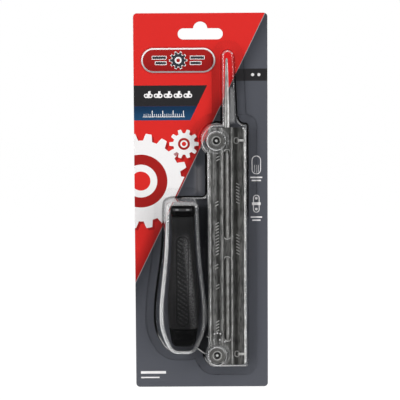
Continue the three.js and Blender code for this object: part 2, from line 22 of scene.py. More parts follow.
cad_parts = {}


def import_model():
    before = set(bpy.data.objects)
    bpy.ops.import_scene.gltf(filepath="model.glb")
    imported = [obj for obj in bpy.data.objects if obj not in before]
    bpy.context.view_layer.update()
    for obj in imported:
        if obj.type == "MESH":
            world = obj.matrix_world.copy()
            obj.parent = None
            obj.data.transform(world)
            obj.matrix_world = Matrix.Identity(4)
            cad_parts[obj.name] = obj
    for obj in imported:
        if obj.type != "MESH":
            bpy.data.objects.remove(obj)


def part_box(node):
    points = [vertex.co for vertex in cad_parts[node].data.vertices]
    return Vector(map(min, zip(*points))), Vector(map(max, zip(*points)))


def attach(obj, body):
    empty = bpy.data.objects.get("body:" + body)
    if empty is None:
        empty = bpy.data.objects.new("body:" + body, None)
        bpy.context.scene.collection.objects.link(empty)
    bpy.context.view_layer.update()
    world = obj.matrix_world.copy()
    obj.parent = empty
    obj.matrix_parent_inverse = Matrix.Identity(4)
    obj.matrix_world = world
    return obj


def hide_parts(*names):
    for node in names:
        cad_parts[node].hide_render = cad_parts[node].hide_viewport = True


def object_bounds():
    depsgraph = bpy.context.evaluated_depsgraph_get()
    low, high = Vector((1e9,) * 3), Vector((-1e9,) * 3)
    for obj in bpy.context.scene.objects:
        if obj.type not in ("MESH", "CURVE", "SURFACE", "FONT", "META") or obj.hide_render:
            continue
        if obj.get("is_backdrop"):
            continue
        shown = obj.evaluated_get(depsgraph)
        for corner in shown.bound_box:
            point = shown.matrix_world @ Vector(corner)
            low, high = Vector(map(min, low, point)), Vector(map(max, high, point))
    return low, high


LOG = logging.getLogger("hang_pack")
MM = 0.001
WELD = 1e-6
Colour = tuple[float, float, float, float]
Point = tuple[float, float]
Triple = tuple[float, float, float]
Patch = tuple[Point, Point]
Array = np.ndarray
Material = bpy.types.Material
Socket = bpy.types.NodeSocket
Thing = bpy.types.Object
Value = Union["Signal", float]
Paint = Union[Colour, Socket]


class Body(Enum):
    """Bodies of the frame that pieces ride on."""

    PACK = "pack"
    BLISTER = "blister"
    FILE = "file"
    WASHER_UPPER = "washer_upper"
    WASHER_LOWER = "washer_lower"
    NUT_UPPER = "nut_upper"
    NUT_LOWER = "nut_lower"


class Slot(Enum):
    """Material slots of the record."""

    BOARD = "board"
    CLEAR = "clear_plastic"
    GUIDE = "guide_steel"
    CLAMP = "clamp_steel"
    FILE = "file_steel"
    HARD = "hard_plastic"
    GRIP = "grip_plastic"


def srgb(red: int, green: int, blue: int) -> Colour:
    """Return the linear colour of a screen colour given in steps of 255.

    Args:
        red, green, blue: screen values from 0 to 255.

    Returns:
        Linear red, green, blue and full alpha.
    """
    shares = np.array([red, green, blue]) / 255
    linear = np.where(shares <= 0.04045, shares / 12.92, ((shares + 0.055) / 1.055) ** 2.4)
    return (*(float(value) for value in linear), 1.0)


# Shader arithmetic


class Signal:
    """A shader value that takes part in Python arithmetic. Each operator adds one Math node."""

    def __init__(self, graph: Graph, socket: Socket) -> None:
        """Wrap an output socket of a graph."""
        self.graph = graph
        self.socket = socket

    def __add__(self, other: Value) -> Signal:
        """Add."""
        return self.graph.math("ADD", self, other)

    __radd__ = __add__

    def __sub__(self, other: Value) -> Signal:
        """Subtract."""
        return self.graph.math("SUBTRACT", self, other)

    def __rsub__(self, other: Value) -> Signal:
        """Subtract from a number."""
        return self.graph.math("SUBTRACT", other, self)

    def __mul__(self, other: Value) -> Signal:
        """Multiply."""
        return self.graph.math("MULTIPLY", self, other)

    __rmul__ = __mul__

    def __truediv__(self, other: Value) -> Signal:
        """Divide."""
        return self.graph.math("DIVIDE", self, other)

    def __neg__(self) -> Signal:
        """Change the sign."""
        return self.graph.math("MULTIPLY", self, -1.0)

    def __pow__(self, other: Value) -> Signal:
        """Raise to a power."""
        return self.graph.math("POWER", self, other)

    def __abs__(self) -> Signal:
        """Drop the sign."""
        return self.graph.math("ABSOLUTE", self)

    def __and__(self, other: Value) -> Signal:
        """Intersect two distances: the larger counts."""
        return self.graph.math("MAXIMUM", self, other)

    def __or__(self, other: Value) -> Signal:
        """Unite two distances: the smaller counts."""
        return self.graph.math("MINIMUM", self, other)


def united(distances: Iterable[Signal]) -> Signal:
    """Unite distances: the smallest counts."""
    return functools.reduce(operator.or_, distances)


class Graph:
    """A material's or the world's node tree, with one method for any node."""

    def __init__(self, tree: bpy.types.NodeTree) -> None:
        """Clear a node tree and take it over."""
        self.tree = tree
        tree.nodes.clear()

    @classmethod
    def material(cls, name: str) -> tuple[Graph, Material]:
        """Make a new material and its graph.

        Args:
            name: the material's name.

        Returns:
            The graph and the material.
        """
        made = bpy.data.materials.new(name)
        made.use_nodes = True
        return cls(made.node_tree), made

    def node(self, kind: str, settings: dict | None = None, values: dict | None = None) -> bpy.types.Node:
        """Add a node.

        Args:
            kind: the node's type name.
            settings: attributes that are set first; stops, where given, fills a colour ramp.
            values: socket name or number to a signal, a socket or a constant.

        Returns:
            The new node.
        """
        made = self.tree.nodes.new(kind)
        for name, setting in (settings or {}).items():
            if name == "stops":
                self._fill_ramp(made.color_ramp, setting)
            else:
                setattr(made, name, setting)
        for place, value in (values or {}).items():
            socket = made.inputs[place]
            if isinstance(value, Signal):
                self.tree.links.new(value.socket, socket)
            elif isinstance(value, Socket):
                self.tree.links.new(value, socket)
            else:
                socket.default_value = value
        return made

    @staticmethod
    def _fill_ramp(ramp: bpy.types.ColorRamp, stops: Sequence[tuple[float, Colour]]) -> None:
        """Give a ramp its stops, each a place and a colour.

        Args:
            ramp: the ramp.
            stops: places and colours.
        """
        while len(ramp.elements) < len(stops):
            ramp.elements.new(1.0)
        for element, (place, colour) in zip(ramp.elements, stops):
            element.position = place
            element.color = colour

    def math(self, operation: str, *values: Value) -> Signal:
        """Add a Math node of an operation on one to three values."""
        made = self.node("ShaderNodeMath", {"operation": operation}, dict(enumerate(values)))
        return Signal(self, made.outputs[0])

    def place(self) -> tuple[Signal, Signal, Signal]:
        """Read a point's place on the printed face.

        Returns:
            Its x across, y up and h out of the face, in millimetres.
        """
        coordinates = self.node("ShaderNodeTexCoord")
        split = self.node("ShaderNodeSeparateXYZ", values={0: coordinates.outputs["Object"]})
        across, deep, up = (Signal(self, socket) / MM for socket in split.outputs)
        return across, up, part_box("backing_card")[0].y / MM - deep

    def cover(self, distance: Signal, soft: float = 0.07) -> Signal:
        """Turn a signed distance into a share, 1 inside and 0 outside, over a soft edge."""
        made = self.node(
            "ShaderNodeMapRange",
            {"interpolation_type": "SMOOTHSTEP"},
            {0: distance, 1: -soft, 2: soft, 3: 1.0, 4: 0.0},
        )
        return Signal(self, made.outputs[0])

    def blend(self, below: Paint, above: Paint, share: Value) -> Socket:
        """Mix two colours by a share of the upper one and return the colour socket."""
        made = self.node("ShaderNodeMix", {"data_type": "RGBA"}, {0: share, 6: below, 7: above})
        return made.outputs[2]

    def noise(self, scale: float, detail: float = 2.0, stretch: Triple = (1, 1, 1)) -> Signal:
        """Add smooth noise.

        Args:
            scale: turns per metre.
            detail: finer layers.
            stretch: scale along x, y and z.

        Returns:
            Smooth noise about 0.5.
        """
        coordinates = self.node("ShaderNodeTexCoord")
        mapped = self.node("ShaderNodeMapping", values={0: coordinates.outputs["Object"], 3: stretch})
        values = {"Vector": mapped.outputs[0], "Scale": scale, "Detail": detail}
        return Signal(self, self.node("ShaderNodeTexNoise", values=values).outputs["Fac"])

    def bump(self, height: Signal, depth: float) -> Socket:
        """Return the normal of a relief whose height runs from 0 to 1 over a depth in millimetres."""
        made = self.node("ShaderNodeBump", values={"Strength": 1.0, "Distance": depth * MM, "Height": height})
        return made.outputs[0]

    def surface(self, shader: bpy.types.Node) -> None:
        """Make a shader node the material's surface."""
        self.node("ShaderNodeOutputMaterial", values={0: shader.outputs[0]})

    def dress(self, values: dict) -> None:
        """Make a Principled shader of these socket values the material's surface."""
        self.surface(self.node("ShaderNodeBsdfPrincipled", values=values))

    # Distances to flat shapes, in millimetres, below zero inside

    def bar(self, x: Signal, y: Signal, centre: Point, half: Point) -> Signal:
        """Distance to a rectangle: the larger of the ways past its sides and past its ends."""
        return (abs(x - centre[0]) - half[0]) & (abs(y - centre[1]) - half[1])

    def pill(self, x: Signal, y: Signal, centre: Point, reach: float, radius: float) -> Signal:
        """Distance to a level bar with round ends: the length of the way past its core, less the radius."""
        past = (abs(x - centre[0]) - reach) & 0.0
        return self.length(past, y - centre[1]) - radius

    def length(self, x: Signal, y: Signal) -> Signal:
        """Root of the sum of two squares."""
        return self.math("SQRT", x * x + y * y)

    def nearest(self, x: Signal, y: Signal, centres: Sequence[Point]) -> Signal:
        """Distance to the nearest of some points."""
        ways = [self.length(x - across, y - up) for across, up in centres]
        return united(ways)

    def wheel(self, x: Signal, y: Signal, wheel: Wheel, shift: Point = (0.0, 0.0)) -> Signal:
        """Distance to a toothed disc: its radius rises and falls by a clipped cosine of the angle.

        Args:
            x, y: place on the face.
            wheel: the disc and its teeth.
            shift: how far the disc is moved.

        Returns:
            The distance.
        """
        steepness = 2.2
        across, up = x - (wheel.centre[0] + shift[0]), y - (wheel.centre[1] + shift[1])
        angle = self.math("ARCTAN2", up, across)
        tooth = (self.math("COSINE", angle * wheel.teeth) * steepness | 1.0) & -1.0
        return self.length(across, up) - wheel.radius - tooth * (wheel.depth / 2)


# Finishes


SLANT_TOP = (48.96, 5.0)
SLANT_FOOT = (-50.6, -199.5)


def past_slant(x: Signal, y: Signal) -> Signal:
    """Distance to the line between the red field and the grey one, below zero on the red side.

    Args:
        x, y: place on the face, in millimetres.

    Returns:
        The distance, in millimetres.
    """
    run = np.array(SLANT_FOOT) - np.array(SLANT_TOP)
    across, up = -run[1] / np.hypot(*run), run[0] / np.hypot(*run)
    return (x - SLANT_TOP[0]) * across + (y - SLANT_TOP[1]) * up


@dataclass(frozen=True)
class Wheel:
    """A printed toothed wheel: its place, radius, teeth and their depth, and the radius of a ring in it."""

    centre: Point
    radius: float
    teeth: int
    depth: float
    ring: float = 0.0


@dataclass(frozen=True)
class Band:
    """A level printed band: where its middle lies, and half its width."""

    middle: float
    half: float

    def distance(self, y: Signal) -> Signal:
        """Distance to the band, below zero on it."""
        return abs(y - self.middle) - self.half


class Canvas:
    """The printed face while it is painted: flat colours laid one over another."""

    def __init__(self, graph: Graph, ground: Colour) -> None:
        """Start with one colour all over.

        Args:
            graph: the print's nodes.
            ground: the first colour.
        """
        self.graph = graph
        self.x, self.y, _ = graph.place()
        self.slant = past_slant(self.x, self.y)
        self.colour: Paint = ground

    def paint(self, distance: Signal, colour: Paint, share: float = 1.0, soft: float = 0.07) -> None:
        """Lay a share of a colour where a distance is below zero, over a soft edge."""
        self.colour = self.graph.blend(self.colour, colour, self.graph.cover(distance, soft) * share)


@dataclass(frozen=True)
class PrintedFace:
    """Glossy printed board: a red field over a grey one along a slant, bands, and plain tool motifs.

    A bar is given by its middle and its half sizes, and a spot by its middle and its radius.
    """

    red: Colour = srgb(214, 40, 36)
    # lit_red is painted light: the brighter red where the tang's and the upper nut's bubbles gather light
    # over the print.
    lit_red: Colour = srgb(255, 34, 38)
    deep_red: Colour = srgb(142, 18, 18)
    badge_red: Colour = srgb(160, 26, 24)
    grey: Colour = srgb(80, 82, 89)
    dark_grey: Colour = srgb(50, 52, 58)
    black: Colour = srgb(38, 37, 39)
    blue: Colour = srgb(26, 68, 104)
    dark_blue: Colour = srgb(14, 46, 76)
    white: Colour = srgb(240, 238, 238)
    silver: Colour = srgb(150, 148, 150)
    shade_top: float = -52.0
    # Places of the painted light under the tang's bubble and round the upper nut's bubble.
    tang_axis: float = 20.6
    tang_light: Band = Band(-46.5, 20.0)
    tang_light_half: float = 5.4
    nut_light: Triple = (11.0, -91.0, 13.6)
    # A painted reflection of the clear flange, laid on the grey as a silver bar.
    painted_reflection_bar: Patch = ((-2.0, -121.0), (1.6, 9.0))
    wheels: tuple[Wheel, ...] = (
        Wheel((-46.5, -122.0), 34.0, 18, 5.4, 20.5), Wheel((-13.0, -93.5), 9.8, 10, 3.0, 4.6),
    )
    wheel_shadow: Point = (1.6, -1.8)
    wheel_margin: float = 1.2
    band_margin: float = 16.0
    black_band: Band = Band(-56.4, 7.9)
    blue_band: Band = Band(-69.8, 5.5)
    right_band: Band = Band(-40.65, 4.65)
    right_dots: Triple = (42.5, 2.4, 1.2)
    badge_wheel: Wheel = Wheel((-17.0, -29.4), 5.6, 10, 1.6, 2.6)
    badge_reach: float = 19.0
    badge_half: float = 9.4
    badge_rim: float = 1.15
    badge_bars: tuple[Patch, ...] = (((14.6, 2.1), (5.2, 0.95)), ((13.4, -2.1), (4.0, 0.95)))
    file_icon: Point = (42.75, -110.0)
    link_icon: Point = (42.7, -140.0)
    line_half: float = 0.3
    plain_bars: tuple[Patch, ...] = (
        ((42.75, -119.6), (4.6, 0.55)), ((42.75, -122.0), (3.6, 0.55)),
        ((42.75, -150.4), (4.4, 0.55)), ((42.75, -152.8), (3.2, 0.55)),
        ((-38.0, -271.9), (9.8, 1.0)), ((-40.5, -275.9), (7.2, 0.5)),
    )

    def material(self) -> Material:
        """Paint the print, lowest layer first, and give it its gloss.

        Returns:
            The finished material.
        """
        graph, made = Graph.material("printed_face")
        canvas = Canvas(graph, self.grey)
        layers = (
            self._fields, self._wheels, self._bands, self._scale, self._links, self._badge, self._icons
        )
        for layer in layers:
            layer(canvas)
        fibre = graph.noise(900.0, 3.0)
        graph.dress({
            "Base Color": graph.blend(canvas.colour, self.black, (fibre - 0.5) * 0.12 & 0.0),
            "Roughness": 0.3 + fibre * 0.08,
            "Specular IOR Level": 0.45,
            "Normal": graph.bump(graph.noise(260.0, 2.0), 0.012),
        })
        return made

    def _fields(self, canvas: Canvas) -> None:
        """Grey below the slant and red above it, each darker towards it, with a pale line between.

        The grey has a painted reflection laid as a silver bar, and the red has painted light, brighter under
        the tang and round the upper nut.

        Args:
            canvas: the face to paint on.
        """
        graph, x, y, slant = canvas.graph, canvas.x, canvas.y, canvas.slant
        canvas.paint(slant - 6.5, self.dark_grey, 0.85, 8.5)
        # Painted reflection: a silver bar on the grey.
        canvas.paint(graph.bar(x, y, *self.painted_reflection_bar), self.silver, 0.55, 3.5)
        near_red = graph.cover(-slant - 5.0, 6.0) * graph.cover(y - self.shade_top, 22.0) * 0.8
        red = graph.blend(self.red, self.deep_red, near_red)
        # Painted light: the red brighter under the tang's bubble and round the upper nut's bubble.
        middle, reach = self.tang_light.middle, self.tang_light.half
        tang = graph.pill(y, x, (middle, self.tang_axis), reach, self.tang_light_half)
        across, up, radius = self.nut_light
        nut = graph.length(x - across, y - up) - radius
        canvas.paint(slant, graph.blend(red, self.lit_red, graph.cover(tang | nut, 1.0)))
        canvas.paint(abs(slant - 0.1) - 0.28, self.silver, 0.75)

    def _wheels(self, canvas: Canvas) -> None:
        """A large and a small toothed wheel with rings in white and deep red, cut off by the slant.

        Args:
            canvas: the face to paint on.
        """
        graph, x, y = canvas.graph, canvas.x, canvas.y
        clear = canvas.slant + self.wheel_margin
        for wheel in self.wheels:
            canvas.paint(graph.wheel(x, y, wheel, self.wheel_shadow) & clear, self.deep_red, 0.8, 0.5)
            way = graph.length(x - wheel.centre[0], y - wheel.centre[1])
            layers = (
                (graph.wheel(x, y, wheel), self.white), (way - wheel.ring, self.badge_red),
                (way - wheel.ring * 0.62, self.white), (way - wheel.ring * 0.36, self.red),
            )
            for distance, colour in layers:
                canvas.paint(distance & clear, colour)

    def _bands(self, canvas: Canvas) -> None:
        """A black band and a blue one on the red side, and a short black one on the grey side.

        Args:
            canvas: the face to paint on.
        """
        graph, y = canvas.graph, canvas.y
        margin = canvas.slant + self.band_margin
        depth = graph.cover(y - self.blue_band.middle, self.blue_band.half)
        canvas.paint(margin & self.black_band.distance(y), self.black)
        canvas.paint(margin & self.blue_band.distance(y), graph.blend(self.dark_blue, self.blue, depth))
        canvas.paint(-canvas.slant & self.right_band.distance(y), self.black)

    def _scale(self, canvas: Canvas) -> None:
        """A measuring scale: short strokes a pitch apart on a line, and every fifth one longer.

        Args:
            canvas: the face to paint on.
        """
        graph, x, y = canvas.graph, canvas.x, canvas.y
        pitch, start, count, up = 1.6, -44.4, 20, self.blue_band.middle
        fine = abs(graph.math("MODULO", x - start, pitch) - pitch / 2) - 0.17
        coarse = abs(graph.math("MODULO", x - start - pitch * 2, pitch * 5) - pitch * 2.5) - 0.3
        row = graph.bar(x, y, (start + pitch * count / 2, up), (pitch * count / 2 + 0.2, 4.0))
        short = fine & Band(up - 1.6, 1.1).distance(y)
        tall = coarse & Band(up - 0.4, 2.3).distance(y)
        line = Band(up - 2.8, 0.22).distance(y)
        canvas.paint((short | tall | line) & row, self.white)

    def _links(self, canvas: Canvas) -> None:
        """Chain links in a row: pills a pitch apart, each with two round holes and a tooth. Then two dots.

        Args:
            canvas: the face to paint on.
        """
        graph, x, y = canvas.graph, canvas.x, canvas.y
        pitch, start, count, up = 7.6, -44.0, 5, self.black_band.middle
        reach, radius, hole = 1.7, 1.65, 0.75
        along = graph.math("MODULO", x - start, pitch) - pitch / 2
        row = graph.bar(x, y, (start + pitch * count / 2, up), (pitch * count / 2, 6.0))
        link = graph.pill(along, y, (0.0, up), reach, radius)
        holes = graph.length(abs(along) - reach, y - up) - hole
        tooth = graph.bar(along, y, (0.9, up + 2.2), (0.9, 1.3))
        canvas.paint((link | tooth) & row & -holes, self.white)
        middle, apart, radius = self.right_dots
        dots = graph.length(abs(x - middle) - apart, y - self.right_band.middle) - radius
        canvas.paint(dots, self.white, 0.8)

    def _badge(self, canvas: Canvas) -> None:
        """A pill badge with a silver rim, a small wheel in its middle and two bars on either side.

        Args:
            canvas: the face to paint on.
        """
        graph, x, y = canvas.graph, canvas.x, canvas.y
        centre = self.badge_wheel.centre
        body = graph.pill(x, y, centre, self.badge_reach, self.badge_half)
        shade = graph.cover(y - centre[1] + 2.0, 8.0)
        canvas.paint(body - 0.9, self.deep_red, 0.6, 0.8)
        canvas.paint(body, graph.blend(self.white, self.silver, shade))
        canvas.paint(body + self.badge_rim, graph.blend(self.badge_red, self.deep_red, shade))
        outline, bore = graph.wheel(x, y, self.badge_wheel), self.badge_wheel.ring
        way = graph.length(x - centre[0], y - centre[1])
        white_edge, white_bore = 0.55, bore - 0.6
        canvas.paint((outline & -(way - white_bore)) - white_edge, self.white)
        canvas.paint(outline & -(way - bore), self.dark_grey)
        side, level = abs(x - centre[0]), y - centre[1]
        bars = united(graph.bar(side, level, middle, half) for middle, half in self.badge_bars)
        canvas.paint(bars - 0.45, self.white)
        canvas.paint(bars, self.dark_grey)

    def _icons(self, canvas: Canvas) -> None:
        """Line drawings of a file's end and of a chain link, and the plain bars below and at the foot.

        Args:
            canvas: the face to paint on.
        """
        graph, x, y = canvas.graph, canvas.x, canvas.y
        axis, up = self.file_icon
        outline = graph.pill(y, x, (up, axis), 3.6, 3.3)
        strokes = abs(graph.math("MODULO", x - axis + 30.0, 1.4) - 0.7) - 0.16
        file_end = (abs(outline) - self.line_half) | (strokes & (outline + 0.8) & (y - up))
        axis, up = self.link_icon
        link = abs(graph.pill(y, x, (up, axis), 4.4, 2.2)) - self.line_half
        pins = graph.length(x - axis, abs(y - up) - 4.2) - 1.0
        waist = graph.bar(x, y, (axis, up), (3.4, 1.1))
        bars = united(graph.bar(x, y, middle, half) for middle, half in self.plain_bars)
        canvas.paint(file_end | link | pins | waist | bars, self.white, 0.92)


@dataclass(frozen=True)
class BareBoard:
    """Unprinted card stock: pale, matt, with faint fibres."""

    name: str
    pale: Colour
    shade: Colour
    roughness: float = 0.75

    def material(self) -> Material:
        """Build the board from two scales of fibre noise.

        Returns:
            The finished material.
        """
        graph, made = Graph.material(self.name)
        fibre = graph.noise(420.0, 6.0, (1.0, 1.0, 0.35))
        cloud = graph.noise(18.0, 3.0)
        colour = graph.blend(self.pale, self.shade, fibre * 0.5 + cloud * 0.3 - 0.15)
        graph.dress({
            "Base Color": colour,
            "Roughness": self.roughness + (fibre - 0.5) * 0.15,
            "Specular IOR Level": 0.3,
            "Normal": graph.bump(fibre, 0.03),
        })
        return made


@dataclass(frozen=True)
class SheetPoint:
    """What the clear sheet's look reads at a point.

    Rise is the height over the flange. Aside and upward are parts of the normal. Tilt is 0 where the sheet
    lies level with the card and 1 on an upright wall. Flat is a share, 1 where the tilt is nearly 0.
    Speckle and cloud are fine and coarse patches.
    """

    across: Signal
    up: Signal
    rise: Signal
    aside: Signal
    upward: Signal
    tilt: Signal
    flat: Signal
    speckle: Signal
    cloud: Signal


@dataclass(frozen=True)
class ClearSheet:
    """Thin clear sheet: painted highlights in pale where it turns over an edge, painted shade in dark along
    its foot, else nearly unseen.

    A bar is given by its middle and its half sizes, across and up.
    """

    flange_top: float
    domes: tuple[Point, ...]
    tang_foot: float = -77.0
    tang_root: Patch = ((24.4, -64.0), (2.2, 13.0))
    tang_flange: Patch = ((9.6, -53.0), (3.2, 24.0))
    artwork: Patch = ((-36.0, -124.0), (9.0, 40.0))
    shelf_corner: Point = (-13.0, -141.0)
    shelf_height: float = 4.5
    right_fade: Point = (34.0, -147.0)
    handle_right: float = 4.6
    handle_middle: float = -14.0
    handle_top: float = -140.0
    dome_foot: float = 12.0
    dome_left: float = 2.0
    # Radius of the painted highlight ring round each dome.
    dome_ring: float = 9.4
    # Size and places of painted glints.
    glint: float = 0.55
    glints: tuple[Point, ...] = (
        (-3.7, -140.3), (-25.5, -140.5), (3.3, -134.6), (33.2, -96.6), (32.4, -81.6), (17.2, -25.5),
        (20.7, -22.8), (24.0, -24.8), (9.7, -240.1), (12.0, -239.4), (14.3, -239.9), (4.4, -243.0),
        (9.3, -244.8), (13.9, -244.6), (17.7, -246.1), (6.3, -259.8),
    )
    tint: Colour = (0.995, 0.995, 0.995, 1.0)
    # Colour of the painted shade: foot lines, upright walls, the shelf's shadow and the tang's flange.
    dark: Colour = (0.004, 0.004, 0.004, 1.0)
    # Colour of the painted highlights, haze, reflections and glints.
    pale: Colour = (0.82, 0.82, 0.82, 1.0)
    mirror: Colour = (0.95, 0.96, 0.98, 1.0)
    least_mirror: float = 0.02

    def material(self) -> Material:
        """Mix see-through, painted dark shade, painted pale highlights and mirror shaders, each by its share.

        Returns:
            The finished material.
        """
        graph, made = Graph.material("clear_sheet")
        at = self._read(graph)
        wave = graph.bump(graph.noise(55.0, 2.0, (1.0, 1.0, 0.4)), 0.05)
        clear = graph.node("ShaderNodeBsdfTransparent", values={"Color": self.tint})
        # Dark shader for the painted shade.
        shade = graph.node(
            "ShaderNodeBsdfPrincipled",
            values={"Base Color": self.dark, "Roughness": 0.9, "Specular IOR Level": 0.0},
        )
        # Pale shader for the painted highlights, haze and glints.
        painted_highlight = graph.node(
            "ShaderNodeBsdfPrincipled", values={"Base Color": self.pale, "Roughness": 0.3, "Normal": wave}
        )
        gloss = graph.node(
            "ShaderNodeBsdfGlossy", values={"Color": self.mirror, "Roughness": 0.07, "Normal": wave}
        )
        # Share of the painted dark line along the bubbles' foot.
        foot = graph.cover(0.06 - at.tilt, 0.04) * graph.cover(at.rise - 1.7, 0.4)
        layers = (
            (self._painted_shade(graph, at, foot), shade),
            (self._painted_edge_highlights(graph, at) & self._painted_haze_and_glints(graph, at), painted_highlight),
            (self._reflection(graph, foot), gloss),
        )
        for share, over in layers:
            mixed = {0: share, 1: clear.outputs[0], 2: over.outputs[0]}
            clear = graph.node("ShaderNodeMixShader", values=mixed)
        graph.surface(clear)
        return made

    def _read(self, graph: Graph) -> SheetPoint:
        """Measure a point's place and slope, and make the patches.

        Args:
            graph: the sheet's nodes.

        Returns:
            What the look reads.
        """
        across, up, out = graph.place()
        geometry = graph.node("ShaderNodeNewGeometry")
        split = graph.node("ShaderNodeSeparateXYZ", values={0: geometry.outputs["Normal"]})
        aside, ahead, upward = (Signal(graph, socket) for socket in split.outputs)
        tilt = 1.0 - abs(ahead)
        flat = graph.cover(tilt - 0.04, 0.02)
        speckle = graph.cover(0.52 - graph.noise(700.0, 3.0, (1.0, 1.0, 0.6)), 0.2)
        cloud = graph.cover(0.5 - graph.noise(60.0, 2.0), 0.15)
        return SheetPoint(across, up, out - self.flange_top, aside, upward, tilt, flat, speckle, cloud)

    def _reflection(self, graph: Graph, foot: Signal) -> Signal:
        """Share of the mirror: more where the sheet is seen along itself, and none on the foot.

        Args:
            graph: the sheet's nodes.
            foot: share of the foot's line.

        Returns:
            The share, from 0 to 1.
        """
        weight = graph.node("ShaderNodeLayerWeight", values={"Blend": 0.5})
        facing = Signal(graph, weight.outputs["Facing"])
        return (self.least_mirror + (1.0 - self.least_mirror) * facing ** 5.0) * (1.0 - foot)

    def _painted_shade(self, graph: Graph, at: SheetPoint, foot: Signal) -> Signal:
        """Share of the painted shade: a dark line along the foot, dark upright walls, a painted shadow on the
        low shelf and painted shade on the tang's flange.

        The line is fainter on the red field, more so over the artwork, and low on the right side.

        Args:
            graph: the sheet's nodes.
            at: the point.
            foot: share of the foot's line.

        Returns:
            The share, from 0 to 1.
        """
        # Painted shade on upright walls near the foot.
        painted_wall_shade = graph.cover(0.8 - at.tilt, 0.12) * graph.cover(1.9 - at.rise, 0.2) * 0.2
        left, top = self.shelf_corner
        # Painted shadow on the low shelf between the handle's bubble and the guide's.
        painted_shelf_shadow = at.flat * graph.cover(abs(at.rise - self.shelf_height) - 0.4, 0.1)
        painted_shelf_shadow = painted_shelf_shadow * graph.cover(at.up - top, 2.0) * graph.cover(left - at.across, 1.0) * 0.35
        # Painted shade on the flange beside the tang's bubble.
        band = graph.cover(graph.bar(at.across, at.up, *self.tang_flange), 3.0)
        band = at.flat * graph.cover(at.rise - 0.3, 0.1) * band * 0.08
        art = graph.cover(graph.bar(at.across, at.up, *self.artwork), 5.0)
        red = graph.cover(past_slant(at.across, at.up), 2.0)
        side, height = self.right_fade
        fade = graph.cover(side - at.across, 1.0) * graph.cover(at.up - height, 14.0) * 0.85
        line = foot * (0.78 - art * 0.5 - red * (1.0 - art) * 0.55) * (1.0 - fade)
        return line & painted_wall_shade & painted_shelf_shadow & band

    def _painted_edge_highlights(self, graph: Graph, at: SheetPoint) -> Signal:
        """Share of the painted highlight on rounded edges: fullest on the side that the light meets.

        Quiet lowers it on walls that face right, on the handle's top edge right of its middle, and low on
        the guide's left wall.

        Args:
            graph: the sheet's nodes.
            at: the point.

        Returns:
            The share, from 0 to 1.
        """
        side = 0.62 - at.aside * 0.28 - at.upward * 0.45 + at.cloud * 0.25
        dome = graph.cover(self.dome_foot - at.rise, 0.4) * graph.cover(self.dome_left - at.across, 1.0)
        turn = graph.cover(0.03 - at.tilt, 0.03) * graph.cover(at.tilt - 0.68 + dome * 0.36, 0.14)
        edge = graph.cover(abs(at.tilt - 0.4 + dome * 0.27) - 0.16 + dome * 0.08, 0.12) * (1.0 + dome)
        tang = 1.0 - graph.cover(self.tang_foot - at.up, 1.0) * 0.6
        high = graph.cover(5.2 - at.rise, 0.5) & graph.cover(at.upward + 0.3, 0.1)
        handle = graph.cover(at.across - self.handle_right, 0.4)
        right_wall = graph.cover(0.2 - at.aside, 0.15) * (0.55 + handle * 0.2)
        upper = graph.cover(self.handle_middle - at.across, 2.0) * graph.cover(0.4 - at.upward, 0.2)
        left_wall = graph.cover(at.aside + 0.2, 0.15) * (1.0 - handle)
        left_wall = left_wall * graph.cover(at.up - self.handle_top, 6.0)
        quiet = right_wall & upper * handle * 0.6 & left_wall * 0.5
        fleck = at.speckle * graph.cover(at.tilt - 0.46, 0.1)
        return turn * high * (0.16 + edge * 0.22 + fleck * 0.16) * side * tang * (1.0 - quiet)

    def _painted_haze_and_glints(self, graph: Graph, at: SheetPoint) -> Signal:
        """Share of painted haze, reflections and glints elsewhere: walls that face up, streaks at the tang's
        root, rings round the domes, glints.

        Args:
            graph: the sheet's nodes.
            at: the point.

        Returns:
            The share, from 0 to 1.
        """
        # Painted haze on walls that face up, painted reflection streaks at the tang's root, painted highlight
        # rings round the domes, painted glints.
        walls = graph.cover(0.25 - at.upward, 0.1) * graph.cover(1.8 - at.rise, 0.4)
        painted_top_haze = walls * (0.08 + at.cloud * 0.12)
        streak = graph.cover(0.5 - graph.noise(420.0, 3.0, (1.0, 1.0, 0.03)), 0.12)
        root = at.flat * graph.cover(8.0 - at.rise, 0.2)
        root = root * graph.cover(graph.bar(at.across, at.up, *self.tang_root), 2.0)
        from_ring = abs(graph.nearest(at.across, at.up, self.domes) - self.dome_ring)
        ring_share = graph.cover(from_ring - 0.7, 0.9) * graph.cover(7.0 - at.rise, 0.3)
        near = graph.nearest(at.across, at.up, self.glints)
        spots = graph.cover(near - self.glint, 0.5) * 0.6
        return painted_top_haze & root * streak * 0.12 & ring_share * at.speckle * 0.2 & spots


@dataclass(frozen=True)
class Steel:
    """Bare or plated steel: fine streaks along one way, small blotches, and a shifting roughness."""

    name: str
    bright: Colour
    dark: Colour
    roughness: float
    metallic: float = 0.7
    streak: Triple = (1.0, 1.0, 0.05)
    streak_scale: float = 1500.0
    relief: float = 0.012
    blotches: float = 0.8

    def material(self) -> Material:
        """Build the metal from its colour and from streak and blotch noise.

        Returns:
            The finished material.
        """
        graph, made = Graph.material(self.name)
        streak = graph.noise(self.streak_scale, 3.0, self.streak)
        blotch = graph.noise(140.0, 4.0)
        colour = self.colour(graph, 0.4 + (streak - 0.5) * 0.6 + (blotch - 0.5) * self.blotches)
        graph.dress({
            "Base Color": colour,
            "Metallic": self.metallic,
            "Roughness": self.roughness + (blotch - 0.5) * 0.25,
            "Normal": graph.bump(streak, self.relief),
        })
        return made

    def colour(self, graph: Graph, share: Signal) -> Socket:
        """Mix the two colours by the share of the dark one."""
        return graph.blend(self.bright, self.dark, share)


